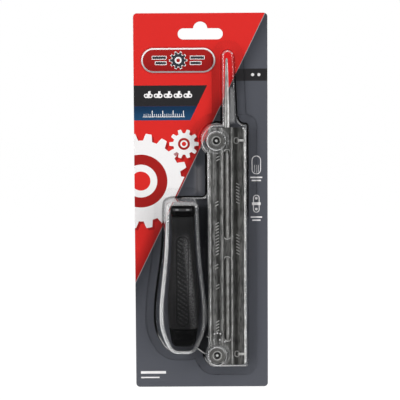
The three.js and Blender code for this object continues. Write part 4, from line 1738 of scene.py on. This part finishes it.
@dataclass(frozen=True)
class GuidePlate:
    """Pressed steel guide: two dished wings with turned-up lips, and a raised channel with two slots."""

    extent: Extent
    file: Extent
    clamps: tuple[Point, ...]
    thickness: float = 1.2
    channel_half: float = 3.4
    channel_rise: float = 1.35
    left_lip: Point = (1.2, 0.9)
    right_lip: Point = (0.9, 0.7)
    slot_half: float = 2.3
    slots: tuple[Point, ...] = ((-98.0, -166.5), (-180.4, -245.8))
    hook: Triple = (25.8, 28.6, 1.9)
    stud_hole: float = 2.3
    corner: float = 3.0
    marks: tuple[tuple[float, float, float, float], ...] = (
        (13.0, -103.4, 2, 30.0), (12.0, -138.2, 2, 30.0), (12.2, -154.6, 11, 30.0), (11.6, -187.0, 2, 30.0),
        (12.4, -202.6, 2, 30.0), (12.2, -231.0, 4, 30.0), (28.2, -124.4, 7, -30.0), (28.2, -163.8, 7, -30.0),
    )

    def build(self) -> Thing:
        """Carry the section up the plate, trim it to the outline, cut slots and holes, and add rims and
        strokes.

        Returns:
            The finished piece.
        """
        box = self.extent
        section = self._section()
        ends = np.stack([np.insert(section, 1, y, axis=1) for y in (box.foot - 1.0, box.top + 1.0)])
        plate = Skin().plug(ends).thing("pressed_guide")
        high, low = box.front + 2.0, box.back - 2.0
        outline = rounded_box(box.left, box.right, box.foot, box.top, self.corner)
        cut(plate, Skin().plate(outline, low, high).thing("form"), "INTERSECT")
        cut(plate, self._holes(low, high).thing("form"), "DIFFERENCE")
        plate.data.materials.clear()
        for metal in self._metals():
            plate.data.materials.append(metal)
        for relief in (self._beads(), self._strokes()):
            self._join(plate, relief.thing("form"))
        smooth(plate, 28.0, weighted=True)
        settle(plate)
        return hand_over(plate, Body.PACK, Slot.GUIDE, "guide_plate")

    def _metals(self) -> tuple[Material, Material]:
        """Dark zinc with bands along the plate, and the brighter metal of strokes and rims.

        Returns:
            The two metals.
        """
        left, right, axis = self.extent.left, self.extent.right, self.file.centre[0]
        # Painted highlights on the lips and the channel's shoulders, painted shade in the dished valleys and
        # at the slots' edges.
        bands = (
            (left, 175), (left + 0.5, 160), (left + 0.9, 95), (left + 1.5, 235), (left + 2.1, 185),
            (left + 3.0, 105), (left + 4.0, 185), (axis - 8.6, 150), (axis - 7.6, 85), (axis - 6.2, 90),
            (axis - 5.0, 150), (axis - 4.2, 215), (axis - 3.2, 200), (axis - 2.7, 18), (axis - 2.2, 120),
            (axis + 2.2, 120), (axis + 2.7, 20), (axis + 3.3, 215), (axis + 4.2, 130), (axis + 5.6, 70),
            (axis + 7.4, 66), (axis + 9.0, 125), (right - 2.6, 130), (right - 1.9, 90), (right - 1.4, 250),
            (right, 255),
        )
        dark = BandedSteel(
            "dark_zinc", srgb(150, 148, 146), srgb(20, 20, 19), 0.36, 0.55, bands=bands, contrast=0.75,
            streak=(1.0, 1.0, 0.12), streak_scale=1300.0, blotches=0.3,
        )
        # Painted highlights on the slot ends, hook rims and strokes, and painted shade along the slots' long
        # edges.
        rims = (
            (left, 225), (axis - 3.4, 225), (axis - 3.0, 12), (axis - 2.4, 10), (axis - 2.2, 245),
            (axis + 2.2, 245), (axis + 2.4, 10), (axis + 3.0, 12), (axis + 3.4, 170), (right, 170),
        )
        bright = BandedSteel("painted_light_zinc", srgb(205, 203, 198), srgb(120, 118, 115), 0.4, 0.5, bands=rims)
        return dark.material(), bright.material()

    def _section(self) -> Array:
        """Section of the plate, x and h: lips, dished wings and the channel, with rounded bends.

        Returns:
            The section's points.
        """
        box, axis = self.extent, self.file.centre[0]
        floor, top = box.back, box.back + self.thickness
        left, right = axis - self.channel_half, axis + self.channel_half
        slope, roof = self.channel_rise / 2, box.front
        lip_left, rise_left = self.left_lip
        lip_right, rise_right = self.right_lip
        under = floor + self.channel_rise
        return filleted([
            (box.left, floor, 0.3), (left, floor, 0.4), (left + slope, under, 0.4),
            (right - slope, under, 0.4), (right, floor, 0.4), (box.right, floor, 0.3),
            (box.right, top + rise_right, 0.28), (box.right - lip_right, top + rise_right, 0.28),
            (box.right - lip_right - 0.2, top, 0.5), (right + 3.0, top - 0.18, 2.0), (right + 0.5, top, 0.5),
            (right - slope, roof, 0.55), (left + slope, roof, 0.55), (left - 0.5, top, 0.5),
            (left - 3.0, top - 0.2, 2.0), (box.left + lip_left + 1.6, top, 1.2),
            (box.left + lip_left + 0.2, top, 0.4),
            (box.left + lip_left, top + rise_left, 0.3), (box.left, top + rise_left, 0.35),
        ])

    def _slot_outlines(self, steps: int = 25) -> list[Array]:
        """Outlines of the two file slots."""
        axis, radius = self.file.centre[0], self.slot_half
        return [capsule((axis, top - radius, radius), (axis, foot + radius, radius), steps)
                for top, foot in self.slots]

    def _hook_outlines(self) -> list[Array]:
        """Outlines of the two slots that the straps hook through."""
        left, right, half = self.hook
        return [rounded_box(left, right, y - half, y + half, 1.2, 6) for _, y in self.clamps]

    def _holes(self, low: float, high: float) -> Skin:
        """Cutters for the file slots, the hook slots and the stud holes, between two heights.

        Args:
            low, high: the heights.

        Returns:
            The cutters.
        """
        skin = Skin()
        studs = [disc(x, y, self.stud_hole, 40) for x, y in self.clamps]
        for outline in [*self._slot_outlines(), *self._hook_outlines(), *studs]:
            skin.plate(outline, low, high)
        return skin

    def _strokes(self) -> Skin:
        """Rows of short strokes that lean at the filing angle, a hair above the dished wings, in the bright
        metal of painted highlights.

        Returns:
            The strokes.
        """
        skin = Skin()
        top = self.extent.back + self.thickness
        length, width, pitch = 1.5, 0.38, 2.4
        outline = rounded_box(-length, length, -width, width, width * 0.9, 4)
        for x, y, count, lean in self.marks:
            turn = math.radians(lean)
            spin = np.array([[math.cos(turn), math.sin(turn)], [-math.sin(turn), math.cos(turn)]])
            for place in range(count):
                skin.plate(outline @ spin + (x, y - place * pitch), top - 0.4, top - 0.04, slot=1)
        return skin

    def _beads(self) -> Skin:
        """Rims of the slots, in the bright metal of painted highlights and shade: a flat oval carried round
        each slot, on the roof or on the wing.

        Returns:
            The rims.
        """
        skin = Skin()
        wing = self.extent.back + self.thickness
        rims = [(outline, self.extent.front) for outline in self._slot_outlines(33)]
        rims += [(outline, wing) for outline in self._hook_outlines()]
        half, rise, sunk = 0.3, 0.05, 0.02
        for outline, height in rims:
            rings = np.stack([
                ring(grown(outline, half + half * math.cos(turn)), height - sunk + rise * math.sin(turn))
                for turn in np.arange(10) * np.pi / 5
            ])
            skin.grid(rings, along=True, slot=1)
        return skin

    @staticmethod
    def _join(thing: Thing, other: Thing) -> None:
        """Add another object's mesh to a mesh, and delete the other.

        Args:
            thing: the object that stays.
            other: the other object.
        """
        form = bmesh.new()
        form.from_mesh(thing.data)
        form.from_mesh(other.data)
        form.to_mesh(thing.data)
        form.free()
        bpy.data.objects.remove(other)


@dataclass(frozen=True)
class Clamp:
    """One clamp: a hooked strap under the file, a threaded stud, a washer and a knurled nut."""

    place: str
    strap: Extent
    stud: Extent
    washer: Extent
    nut: Extent
    file: Extent
    nut_body: Body
    washer_body: Body
    strap_thickness: float = 1.4
    tongue_thickness: float = 1.2
    tongue_length: float = 6.0
    leg_half: float = 1.5
    tongue_half: float = 0.9
    collar_height: float = 1.6
    pitch: float = 0.7

    def build(self, metal: Material, nut_metal: Material) -> None:
        """Build the four pieces.

        Args:
            metal: finish of the strap and washer.
            nut_metal: finish of the stud and nut.
        """
        strap = self._strap().thing(f"hooked_strap_{self.place}", metal)
        hand_over(smooth(strap, 40.0), Body.PACK, Slot.CLAMP, f"clamp_strap_{self.place}")
        stud = self._stud().thing(f"threaded_stud_{self.place}", nut_metal)
        hand_over(smooth(stud, 50.0), Body.PACK, Slot.CLAMP, f"clamp_stud_{self.place}")
        washer = self._washer().thing(f"flat_washer_{self.place}", metal)
        hand_over(smooth(washer, 30.0), self.washer_body, Slot.CLAMP, f"washer_{self.place}")
        nut = self._nut().thing(f"knurled_nut_{self.place}", nut_metal)
        hand_over(smooth(nut, 32.0), self.nut_body, Slot.CLAMP, f"thumb_nut_{self.place}")

    def _strap(self) -> Skin:
        """A rounded strip carried along a path under the file, up through the plate and over its wing.

        Returns:
            The strip, narrower in its leg and its tongue, with a saddle for the file.
        """
        box = self.strap
        low = box.back + self.strap_thickness / 2
        high = box.front - self.tongue_thickness / 2
        leg = box.right - self.tongue_length + self.tongue_thickness / 2
        bend, flat_count, bend_count, tongue_count, blend = 1.0, 60, 7, 23, 8
        turn = np.linspace(0, np.pi / 2, bend_count)
        flat = np.linspace(box.left, leg - bend, flat_count)
        lower = np.stack([leg - bend + bend * np.sin(turn), low + bend * (1 - np.cos(turn))], axis=1)
        upper = np.stack([leg + bend - bend * np.cos(turn), high - bend + bend * np.sin(turn)], axis=1)
        tongue = np.linspace(leg + bend, box.right, tongue_count + 1)[1:]
        under = np.stack([flat, np.full(flat_count, low)], axis=1)
        over = np.stack([tongue, np.full(tongue_count, high)], axis=1)
        path = np.concatenate([under, lower[1:], upper, over])
        way = np.gradient(path, axis=0)
        way /= np.linalg.norm(way, axis=1, keepdims=True)
        normal = np.stack([-way[:, 1], way[:, 0]], axis=1)
        run = np.arange(len(path))
        before, after = flat_count, flat_count + bend_count - 1
        landed = ease(after, after + blend, run)
        half = (box.top - box.foot) / 2
        wide = half + (self.leg_half - half) * ease(before - blend, before, run)
        wide = wide + (self.tongue_half - self.leg_half) * landed
        left_over = np.clip((box.right - path[:, 0]) / 0.7, 0, 1)
        wide = wide * np.where(run > after + blend, np.sqrt(1 - (1 - left_over) ** 2 * 0.9), 1.0)
        thick = np.where(run < before, self.strap_thickness, self.tongue_thickness) / 2
        section = rounded_box(-1, 1, -1, 1, 0.3, 4)
        across = section[:, 0][None] * wide[:, None]
        out = section[:, 1][None] * thick[:, None]
        upper_edge = (section[None, :, 1] > 0) * np.abs(section[None, :, 0]) ** 2
        out = out - landed[:, None] * 0.35 * upper_edge
        x = path[:, :1] + normal[:, :1] * out
        h = path[:, 1:] + normal[:, 1:] * out
        axis, radius = self.file.centre[0], (self.file.right - self.file.left) / 2 + 0.05
        gap = np.sqrt(np.maximum(radius**2 - (x - axis) ** 2, 0))
        seat = (self.file.back + self.file.front) / 2 - gap
        h = np.where((run < before)[:, None], np.minimum(h, np.where(gap > 0, seat, h)), h)
        return Skin().plug(np.stack([x, box.centre[1] + across, h], axis=2))

    def _stud(self) -> Skin:
        """Shoulder and thread: the radius falls and rises once a pitch, turning with the angle.

        Returns:
            The stud.
        """
        box = self.stud
        centre = box.centre
        shoulder = (box.right - box.left) / 2
        steps, radius, depth = 48, 2.0, 0.28
        start = box.back + 2.3
        lead = np.array([
            [0.0, box.back], [1.5, box.back], [1.5, box.back + 1.45], [shoulder, box.back + 1.45],
            [shoulder, start - 0.05], [radius - depth, start],
        ])
        height = np.arange(start + 0.1, box.front - 0.3, self.pitch / 6)
        angle = np.arange(steps) * 2 * np.pi / steps
        phase = (height[:, None] / self.pitch - angle[None] / (2 * np.pi)) % 1
        reach = radius - depth * np.abs(phase * 2 - 1)
        reach = np.minimum(reach, radius - 0.45 + (box.front - height[:, None]) * 0.9)
        thread = np.stack([
            centre[0] + reach * np.cos(angle), centre[1] + reach * np.sin(angle),
            np.broadcast_to(height[:, None], reach.shape),
        ], axis=2)
        front = box.front
        end = np.array([[1.45, front - 0.22], [1.25, front - 0.06], [0.8, front], [0.0, front]])
        return Skin().grid(np.concatenate([turned(lead, centre, steps), thread, turned(end, centre, steps)]))

    def _washer(self) -> Skin:
        """A flat ring with a rounded rim, as a closed section carried round.

        Returns:
            The washer.
        """
        box = self.washer
        section = filleted([
            (2.3, box.back, 0.08), (box.right - box.centre[0], box.back, 0.15),
            (box.right - box.centre[0], box.front, 0.3), (2.3, box.front, 0.12),
        ], 4)
        return Skin().grid(turned(section, box.centre), along=True)

    def _nut(self) -> Skin:
        """Collar, knurled head and ringed face, as a closed section whose rim is cut by two slanting waves.

        Returns:
            The nut.
        """
        box = self.nut
        radius = (box.right - box.left) / 2
        low, head, top = box.back, box.back + self.collar_height, box.front
        bore, collar = 2.3, 4.2
        section = filleted([
            (bore, low, 0.08), (collar - 0.3, low, 0.05), (collar, low + 0.25, 0.05), (collar, head, 0.25),
            (radius - 0.45, head, 0.15), (radius, head + 0.5, 0.2), (radius, head + 1.4, 0.01),
            (radius, head + 2.3, 0.01), (radius, top - 1.2, 0.01), (radius, top - 0.65, 0.3),
            (radius - 0.6, top - 0.1, 0.3), (4.35, top - 0.12, 0.15), (4.05, top - 0.42, 0.12),
            (3.75, top - 0.42, 0.12), (3.6, top, 0.15), (3.1, top, 0.15), (2.8, top - 0.7, 0.2),
            (bore, top - 0.9, 0.1),
        ], 4)
        fine = [section[0]]
        for start, end in zip(section, np.roll(section, -1, axis=0)):
            parts = max(1, int(np.linalg.norm(end - start) / 0.3))
            fine += [start + (end - start) * part / parts for part in range(1, parts + 1)]
        fine = np.array(fine[:-1])
        steps, teeth, depth = 288, 48, 0.34
        rings = turned(fine, box.centre, steps)
        angle = np.arange(steps) * 2 * np.pi / steps
        slant = (fine[:, 1:] - head) * 5.0
        wave = np.cos(angle[None] * teeth + slant) * np.cos(angle[None] * teeth - slant)
        rim = ease(radius - 0.35, radius - 0.05, fine[:, :1]) * ease(head + 0.3, head + 0.9, fine[:, 1:])
        rim = rim * (1 - ease(top - 1.0, top - 0.5, fine[:, 1:]))
        pull = depth * rim * (0.5 - 0.5 * wave) / np.maximum(fine[:, :1], WELD)
        middle = np.array(box.centre)
        rings[:, :, :2] = middle + (rings[:, :, :2] - middle) * (1 - pull[:, :, None])
        return Skin().grid(rings, along=True)


@dataclass(frozen=True)
class RoundFile:
    """Round file: a body with crossing spiral cuts, a plain shoulder and a tapered tang."""

    extent: Extent
    tang: float = 36.0
    shoulder: float = 3.0
    root_radius: float = 2.1
    tip_radius: float = 0.9
    cut_pitch: float = 1.15
    cut_depth: float = 0.1

    def build(self) -> Thing:
        """Carry a circle along the file, less two spirals of cuts of opposite hand.

        Returns:
            The finished file.
        """
        box = self.extent
        radius = (box.right - box.left) / 2 - 0.03
        steps = 56
        neck = box.top - self.tang
        start, end = box.foot, neck - self.shoulder
        body = np.linspace(start + 0.4, end, int((end - start) / (self.cut_pitch / 4.5)))
        angle = np.arange(steps) * 2 * np.pi / steps
        share = angle[None] / (2 * np.pi)
        first = np.abs((body[:, None] / self.cut_pitch + share * 3) % 1 * 2 - 1)
        second = np.abs((body[:, None] / (self.cut_pitch * 2.4) - share * 2) % 1 * 2 - 1)
        reach = radius - self.cut_depth * (first * 0.75 + second * 0.5)
        reach = reach + (radius - reach) * ease(end - 1.0, end - 0.2, body)[:, None]
        plain = np.linspace(end, box.top, 40)[1:]
        taper = np.interp(
            plain, [end, neck, box.top - self.tip_radius, box.top],
            [radius, self.root_radius, self.tip_radius, self.tip_radius * 0.35],
        )
        flat = 1 - 0.16 * ease(neck + 2, box.top - 6, plain)[:, None] * np.cos(angle * 4)[None] ** 2
        y = np.concatenate([[start], body, plain])
        reach = np.concatenate([np.full((1, steps), radius - 0.4), reach, taper[:, None] * flat])
        middle, height = box.centre[0], (box.back + box.front) / 2
        up = np.broadcast_to(y[:, None], reach.shape)
        rings = np.stack([middle + reach * np.cos(angle), up, height + reach * np.sin(angle)], axis=2)
        # Painted light: the file lighter right of its middle and darker at its sides.
        tones = ((-2.4, 120), (-1.3, 160), (0.0, 205), (1.5, 235), (2.4, 120))
        metal = BandedSteel(
            "file_steel", srgb(188, 182, 176), srgb(92, 85, 80), 0.36, 0.55, (1.0, 1.0, 0.3), 900.0,
            bands=tuple((middle + shift, tone) for shift, tone in tones),
        ).material()
        made = Skin().plug(rings).thing("spiral_cut_file", metal)
        return hand_over(smooth(made, 60.0), Body.FILE, Slot.FILE, "round_file")


@dataclass(frozen=True)
class Handle:
    """File handle: a glossy collar and grooved butt in one core, and a satin grip with a ribbed panel."""

    core: Extent
    grip: Extent
    squareness: float = 3.4
    collar_length: float = 8.6
    collar_half: float = 9.5
    butt_length: float = 14.0
    spine: float = 5.0
    bore: float = 3.1
    bore_depth: float = 45.0
    steps: int = 192
    panel: Triple = (-163.6, -232.0, 4.7)
    grip_shares: tuple[Point, ...] = (
        (0, 0.735), (0.023, 0.75), (0.125, 0.725), (0.252, 0.745), (0.392, 0.8), (0.519, 0.875),
        (0.633, 0.955), (0.735, 0.995), (0.837, 1), (0.926, 0.975), (1, 0.925),
    )
    butt_shares: tuple[Point, ...] = (
        (0, 0.915), (0.223, 0.88), (0.456, 0.84), (0.689, 0.785), (0.883, 0.7), (1, 0.58),
    )

    def build(self) -> None:
        """Build the core and the grip."""
        axis, top = self.grip.centre[0], self.core.top
        hard = GleamingMoulding(
            "glossy_black", srgb(2, 2, 3), srgb(14, 14, 15), 0.2, 0.004, 2600.0,
            gleams=((axis - 4.4, top - 3.2), (axis + 3.8, top - 3.2)),
        ).material()
        soft = RibbedMoulding(
            "satin_black", srgb(14, 14, 15), srgb(100, 100, 101), 0.46, 0.02, 2200.0,
            column=axis + 5.0, panel=(axis - 0.6, *self.panel),
        ).material()
        core = self._core().thing("collar_and_butt", hard)
        hand_over(smooth(core, 40.0), Body.PACK, Slot.HARD, "handle_core")
        grip = self._grip().thing("ribbed_grip", soft)
        hand_over(smooth(grip, 45.0), Body.PACK, Slot.GRIP, "handle_grip")

    @property
    def _half(self) -> Point:
        """Largest half width and half depth of the grip."""
        return (self.grip.right - self.grip.left) / 2, (self.grip.front - self.grip.back) / 2

    def _rings(self, y: Array, wide: Array, deep: Array, squareness: float) -> Array:
        """Rounded squares up the handle's axis: cosine and sine over the root of their powers' sum.

        Args:
            y: heights up the card.
            wide, deep: half sizes at them.
            squareness: 2 for a circle, more for a square.

        Returns:
            The rings.
        """
        angle = np.arange(self.steps) * 2 * np.pi / self.steps
        across, out = np.sin(angle), np.cos(angle)
        reach = (np.abs(across) ** squareness + np.abs(out) ** squareness) ** (-1 / squareness)
        middle, height = self.grip.centre[0], (self.grip.back + self.grip.front) / 2
        x = middle + wide[:, None] * (reach * across)[None]
        h = height + deep[:, None] * (reach * out)[None]
        return np.stack([x, np.broadcast_to(y[:, None], x.shape), h], axis=2)

    def _core(self) -> Skin:
        """Butt, spine, collar and tang bore as one run of rings from the foot to the bore's end.

        Returns:
            The core.
        """
        half, depth_share = self._half[0], self._half[1] / self._half[0]
        foot, top = self.core.foot, self.core.top
        run, shares = np.array(self.butt_shares).T
        at = np.linspace(1, 0, 140)
        wide = half * hermite(run, shares, at)
        groove_at, groove_wide, grooves = 0.07, 0.088, 6
        groove = sum(
            np.exp(-(((at - groove_at - groove_wide * place) / 0.02) ** 2)) for place in range(grooves)
        )
        wide = wide - 0.35 * groove
        lip = np.clip((1 - at) * self.butt_length / 1.6, 0, 1)
        wide = wide - 1.6 * (1 - np.sqrt(1 - (1 - lip) ** 2))
        butt = self._rings(foot + self.butt_length * (1 - at), wide, wide * depth_share, self.squareness)
        neck = top - self.collar_length
        spine = self._rings(
            np.array([foot + self.butt_length, neck]), np.full(2, self.spine), np.full(2, self.spine), 2.0
        )
        rise = np.array([0, 0.15, 0.5, 0.9, 1.3, 1.7, 2.6, 4.5, 6.0, 6.7, 7.3, 7.8, 8.2, 8.45, 8.6])
        inset = np.array([0.75, 0.6, 0.55, 0.45, 0.15, 0.03, 0, 0, 0.04, 0.12, 0.32, 0.65, 1.1, 1.6, 2.3])
        wide = self.collar_half - inset
        collar = self._rings(neck + rise, wide, wide * depth_share, self.squareness)
        inner = self._rings(
            np.array([top, top - 0.5, top - self.bore_depth]),
            np.array([self.bore + 0.4, self.bore, self.bore]),
            np.array([self.bore + 0.4, self.bore, self.bore]), 2.0,
        )
        return Skin().plug(np.concatenate([butt, spine, collar, inner]))

    def _grip(self) -> Skin:
        """Sleeve with a sunk panel on its front, whose slanting ribs rise and fall by a clipped sine.

        Returns:
            The grip.
        """
        half, depth_share = self._half[0], self._half[1] / self._half[0]
        run, shares = np.array(self.grip_shares).T
        at = np.linspace(0, 1, 250)
        wide = half * hermite(run, shares, at)
        ends = np.minimum(at, 1 - at) * (self.grip.top - self.grip.foot)
        wide = wide - 0.5 * (1 - np.sqrt(np.clip(1 - (1 - np.clip(ends / 0.6, 0, 1)) ** 2, 0, 1)))
        y = self.grip.top + (self.grip.foot - self.grip.top) * at
        rings = self._rings(y, wide, wide * depth_share, self.squareness)
        panel_top, panel_foot, panel_half = self.panel
        x = rings[:, :, 0] - self.grip.centre[0]
        past = np.maximum(np.abs(rings[:, :, 1] - (panel_top + panel_foot) / 2)
                          - ((panel_top - panel_foot) / 2 - panel_half), 0)
        distance = np.hypot(x, past) - panel_half
        front = rings[:, :, 2] > (self.grip.back + self.grip.front) / 2
        pitch, lean = RibbedMoulding.rib_pitch, RibbedMoulding.rib_lean
        wave = np.sin((rings[:, :, 1] + x * lean) * 2 * np.pi / pitch)
        ribs = 0.5 * ease(-0.35, 0.35, wave) * (1 - ease(-1.5, -0.9, distance))
        sunk = 0.75 * (1 - ease(-0.45, 0.25, distance)) - ribs
        rings[:, :, 2] -= np.where(front, sunk, 0)
        bore = self.spine + 0.3
        inner = self._rings(y[[-1, 0]], np.full(2, bore), np.full(2, bore), 2.0)
        return Skin().grid(np.concatenate([rings, inner]), along=True)


# The studio


@dataclass(frozen=True)
class Studio:
    """Camera, lamps, world and floor."""

    distance: float = 0.9
    azimuth: float = math.radians(0.11)
    elevation: float = math.radians(4.12)
    roll: float = math.radians(-0.32)
    aim: Point = (-0.87, -136.91)
    focal_pixels: float = 1163.0
    picture_pixels: float = 400.0
    sensor: float = 36.0
    floor_drop: float = 0.06
    floor_white: Colour = (0.9, 0.9, 0.9, 1.0)
    floor_glow: float = 1.06
    floor_glow_share: float = 0.85
    white: Colour = (1.0, 1.0, 1.0, 1.0)
    side_start: float = 0.1
    side_light: float = 0.5
    front_start: float = 0.62
    front_light: float = 0.06

    def build(self) -> None:
        """Set up everything that isn't the object."""
        scene = bpy.context.scene
        scene.view_settings.view_transform = "Standard"
        self._camera(scene)
        self._world(scene)
        self._floor()
        lamps = (
            ("left_box", (-0.95, -0.75, -0.05), (0.26, 1.2), 8.6),
            ("right_box", (0.95, -0.75, -0.15), (0.26, 1.2), 7.6),
            ("top_left_box", (-0.35, -0.75, 0.75), (0.3, 0.3), 2.6),
            ("top_right_box", (0.35, -0.75, 0.75), (0.3, 0.3), 2.6),
            ("back_box", (0.3, 1.1, 0.35), (1.0, 1.0), 5.0),
        )
        for name, place, size, power in lamps:
            self._lamp(name, place, size, power)

    def _camera(self, scene: bpy.types.Scene) -> None:
        """Place the camera on its sight line, then roll it.

        Args:
            scene: the scene.
        """
        lens = bpy.data.cameras.new("camera")
        lens.sensor_width = self.sensor
        lens.lens = self.focal_pixels / self.picture_pixels * self.sensor
        lens.clip_start = 0.01
        camera = bpy.data.objects.new("camera", lens)
        scene.collection.objects.link(camera)
        flat = math.cos(self.elevation)
        sideways, ahead = math.sin(self.azimuth) * flat, math.cos(self.azimuth) * flat
        back = Vector((sideways, -ahead, math.sin(self.elevation)))
        right = (-back).cross(Vector((0, 0, 1))).normalized()
        up = right.cross(-back)
        turn = Matrix.Rotation(self.roll, 3, back)
        aim = Vector((self.aim[0] * MM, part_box("backing_card")[0].y, self.aim[1] * MM))
        spin = Matrix((turn @ right, turn @ up, back)).transposed()
        camera.matrix_world = Matrix.Translation(aim + back * self.distance) @ spin.to_4x4()
        scene.camera = camera

    def _world(self, scene: bpy.types.Scene) -> None:
        """White to the camera; to other rays white too, but dim in front, as behind a camera.

        Args:
            scene: the scene.
        """
        world = bpy.data.worlds.new("studio")
        world.use_nodes = True
        scene.world = world
        graph = Graph(world.node_tree)
        coordinates = graph.node("ShaderNodeTexCoord")
        split = graph.node("ShaderNodeSeparateXYZ", values={0: coordinates.outputs["Generated"]})
        ahead = Signal(graph, split.outputs[1]) * -1.0
        dim = 1.0 - graph.cover(self.side_start - ahead, 0.12) * (1.0 - self.side_light)
        dim = dim - graph.cover(self.front_start - ahead, 0.12) * (self.side_light - self.front_light)
        path = graph.node("ShaderNodeLightPath")
        camera = Signal(graph, path.outputs["Is Camera Ray"])
        strength = camera + (1.0 - camera) * dim
        background = graph.node("ShaderNodeBackground", values={0: self.white, 1: strength})
        graph.node("ShaderNodeOutputWorld", values={0: background.outputs[0]})

    def _floor(self) -> None:
        """A wide pale floor below and behind the pack, white to the camera but for the shadow on it."""
        reach, front = 12.0, -0.15
        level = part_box("backing_card")[0].z - self.floor_drop
        mesh = bpy.data.meshes.new("floor")
        ends = [(-reach, front, level), (reach, front, level), (reach, reach, level), (-reach, reach, level)]
        mesh.from_pydata(ends, [], [(0, 1, 2, 3)])
        floor = bpy.data.objects.new("floor", mesh)
        bpy.context.scene.collection.objects.link(floor)
        graph, made = Graph.material("pale_floor")
        path = graph.node("ShaderNodeLightPath")
        seen = Signal(graph, path.outputs["Is Camera Ray"])
        mirrored = Signal(graph, path.outputs["Is Glossy Ray"])
        passed = Signal(graph, path.outputs["Is Transmission Ray"])
        share = ((seen + mirrored + passed) | 1.0) * self.floor_glow_share
        matt = graph.node("ShaderNodeBsdfDiffuse", values={0: self.floor_white})
        glow = graph.node("ShaderNodeEmission", values={0: self.white, 1: self.floor_glow})
        mixed = {0: share, 1: matt.outputs[0], 2: glow.outputs[0]}
        graph.surface(graph.node("ShaderNodeMixShader", values=mixed))
        mesh.materials.append(made)
        floor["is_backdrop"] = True

    @staticmethod
    def _lamp(name: str, place: Triple, size: Point, power: float) -> None:
        """Hang a soft box that faces the middle of the pack.

        Args:
            name: the lamp's name.
            place: where it hangs, in metres.
            size: its sides, in metres.
            power: its power in watts.
        """
        light = bpy.data.lights.new(name, "AREA")
        light.shape = "RECTANGLE"
        light.size, light.size_y = size
        light.energy = power
        lamp = bpy.data.objects.new(name, light)
        bpy.context.scene.collection.objects.link(lamp)
        lamp.location = place
        middle = Vector((0.0, 0.0, -0.137))
        lamp.rotation_euler = (middle - lamp.location).to_track_quat("-Z", "Y").to_euler()


def corners(bounds: tuple[Vector, Vector]) -> list[list[float]]:
    """Turn two corners into plain lists of numbers."""
    return [list(corner) for corner in bounds]


def clamp_metals(guide: Extent, nuts: Sequence[Extent]) -> tuple[Material, Material]:
    """Bright zinc of straps and washers, and turned steel of studs and nuts.

    Args:
        guide: the guide's extent, whose sides the straps' painted shade and highlight follow.
        nuts: the nuts' extents, whose rings of painted highlight and shade run out from their axes.

    Returns:
        The two metals.
    """
    plain = {"streak": (1.0, 1.0, 1.0), "streak_scale": 800.0}
    # Painted shade in the hook slot, painted highlight on the tongue.
    tones = ((guide.left, 190), (guide.right - 6.2, 50), (guide.right - 5.9, 215), (guide.right, 232))
    zinc = BandedSteel(
        "bright_zinc", srgb(232, 230, 226), srgb(150, 148, 145), 0.34, 0.45, bands=tones, **plain
    )
    # Painted highlight and painted shade rings on the nuts' faces and the studs' ends.
    rings = (
        (0.0, 250), (0.9, 235), (1.2, 20), (2.6, 26), (3.1, 215), (3.5, 205), (3.8, 125), (5.5, 118),
        (5.8, 60), (6.05, 205), (6.3, 215),
    )
    steel = BandedSteel(
        "turned_steel", srgb(196, 194, 190), srgb(90, 88, 86), 0.34, 0.5, bands=rings,
        centres=tuple(nut.centre for nut in nuts), **plain,
    )
    return zinc.material(), steel.material()


def main() -> None:
    """Build the studio and every piece of the pack round the frame."""
    logging.basicConfig(level=logging.INFO, format="%(asctime)s %(name)s: %(message)s")
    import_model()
    cad_box = corners(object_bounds())
    Studio().build()
    guide, file = Extent.of("guide_plate"), Extent.of("round_file")
    nuts = (Extent.of("thumb_nut_upper"), Extent.of("thumb_nut_lower"))
    core, grip = Extent.of("handle_core"), Extent.of("handle_grip")
    Card(Extent.of("backing_card")).build()
    GuidePlate(guide, file, (nuts[0].centre, nuts[1].centre)).build()
    RoundFile(file).build()
    Handle(core, grip).build()
    metals = clamp_metals(guide, nuts)
    bodies = (
        ("upper", Body.NUT_UPPER, Body.WASHER_UPPER),
        ("lower", Body.NUT_LOWER, Body.WASHER_LOWER),
    )
    for (place, nut_body, washer_body), nut in zip(bodies, nuts):
        strap, stud, washer = (
            Extent.of(f"{name}_{place}") for name in ("clamp_strap", "clamp_stud", "washer")
        )
        Clamp(place, strap, stud, washer, nut, file, nut_body, washer_body).build(*metals)
    handle = Extent(grip.left, grip.right, core.foot, core.top, grip.back, grip.front)
    Blister(guide, handle, nuts, file, Extent.of("blister")).build()
    {"cad": cad_box, "visual": corners(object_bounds())}
    LOG.info("all pieces are built")


if __name__ == "__main__":
    main()
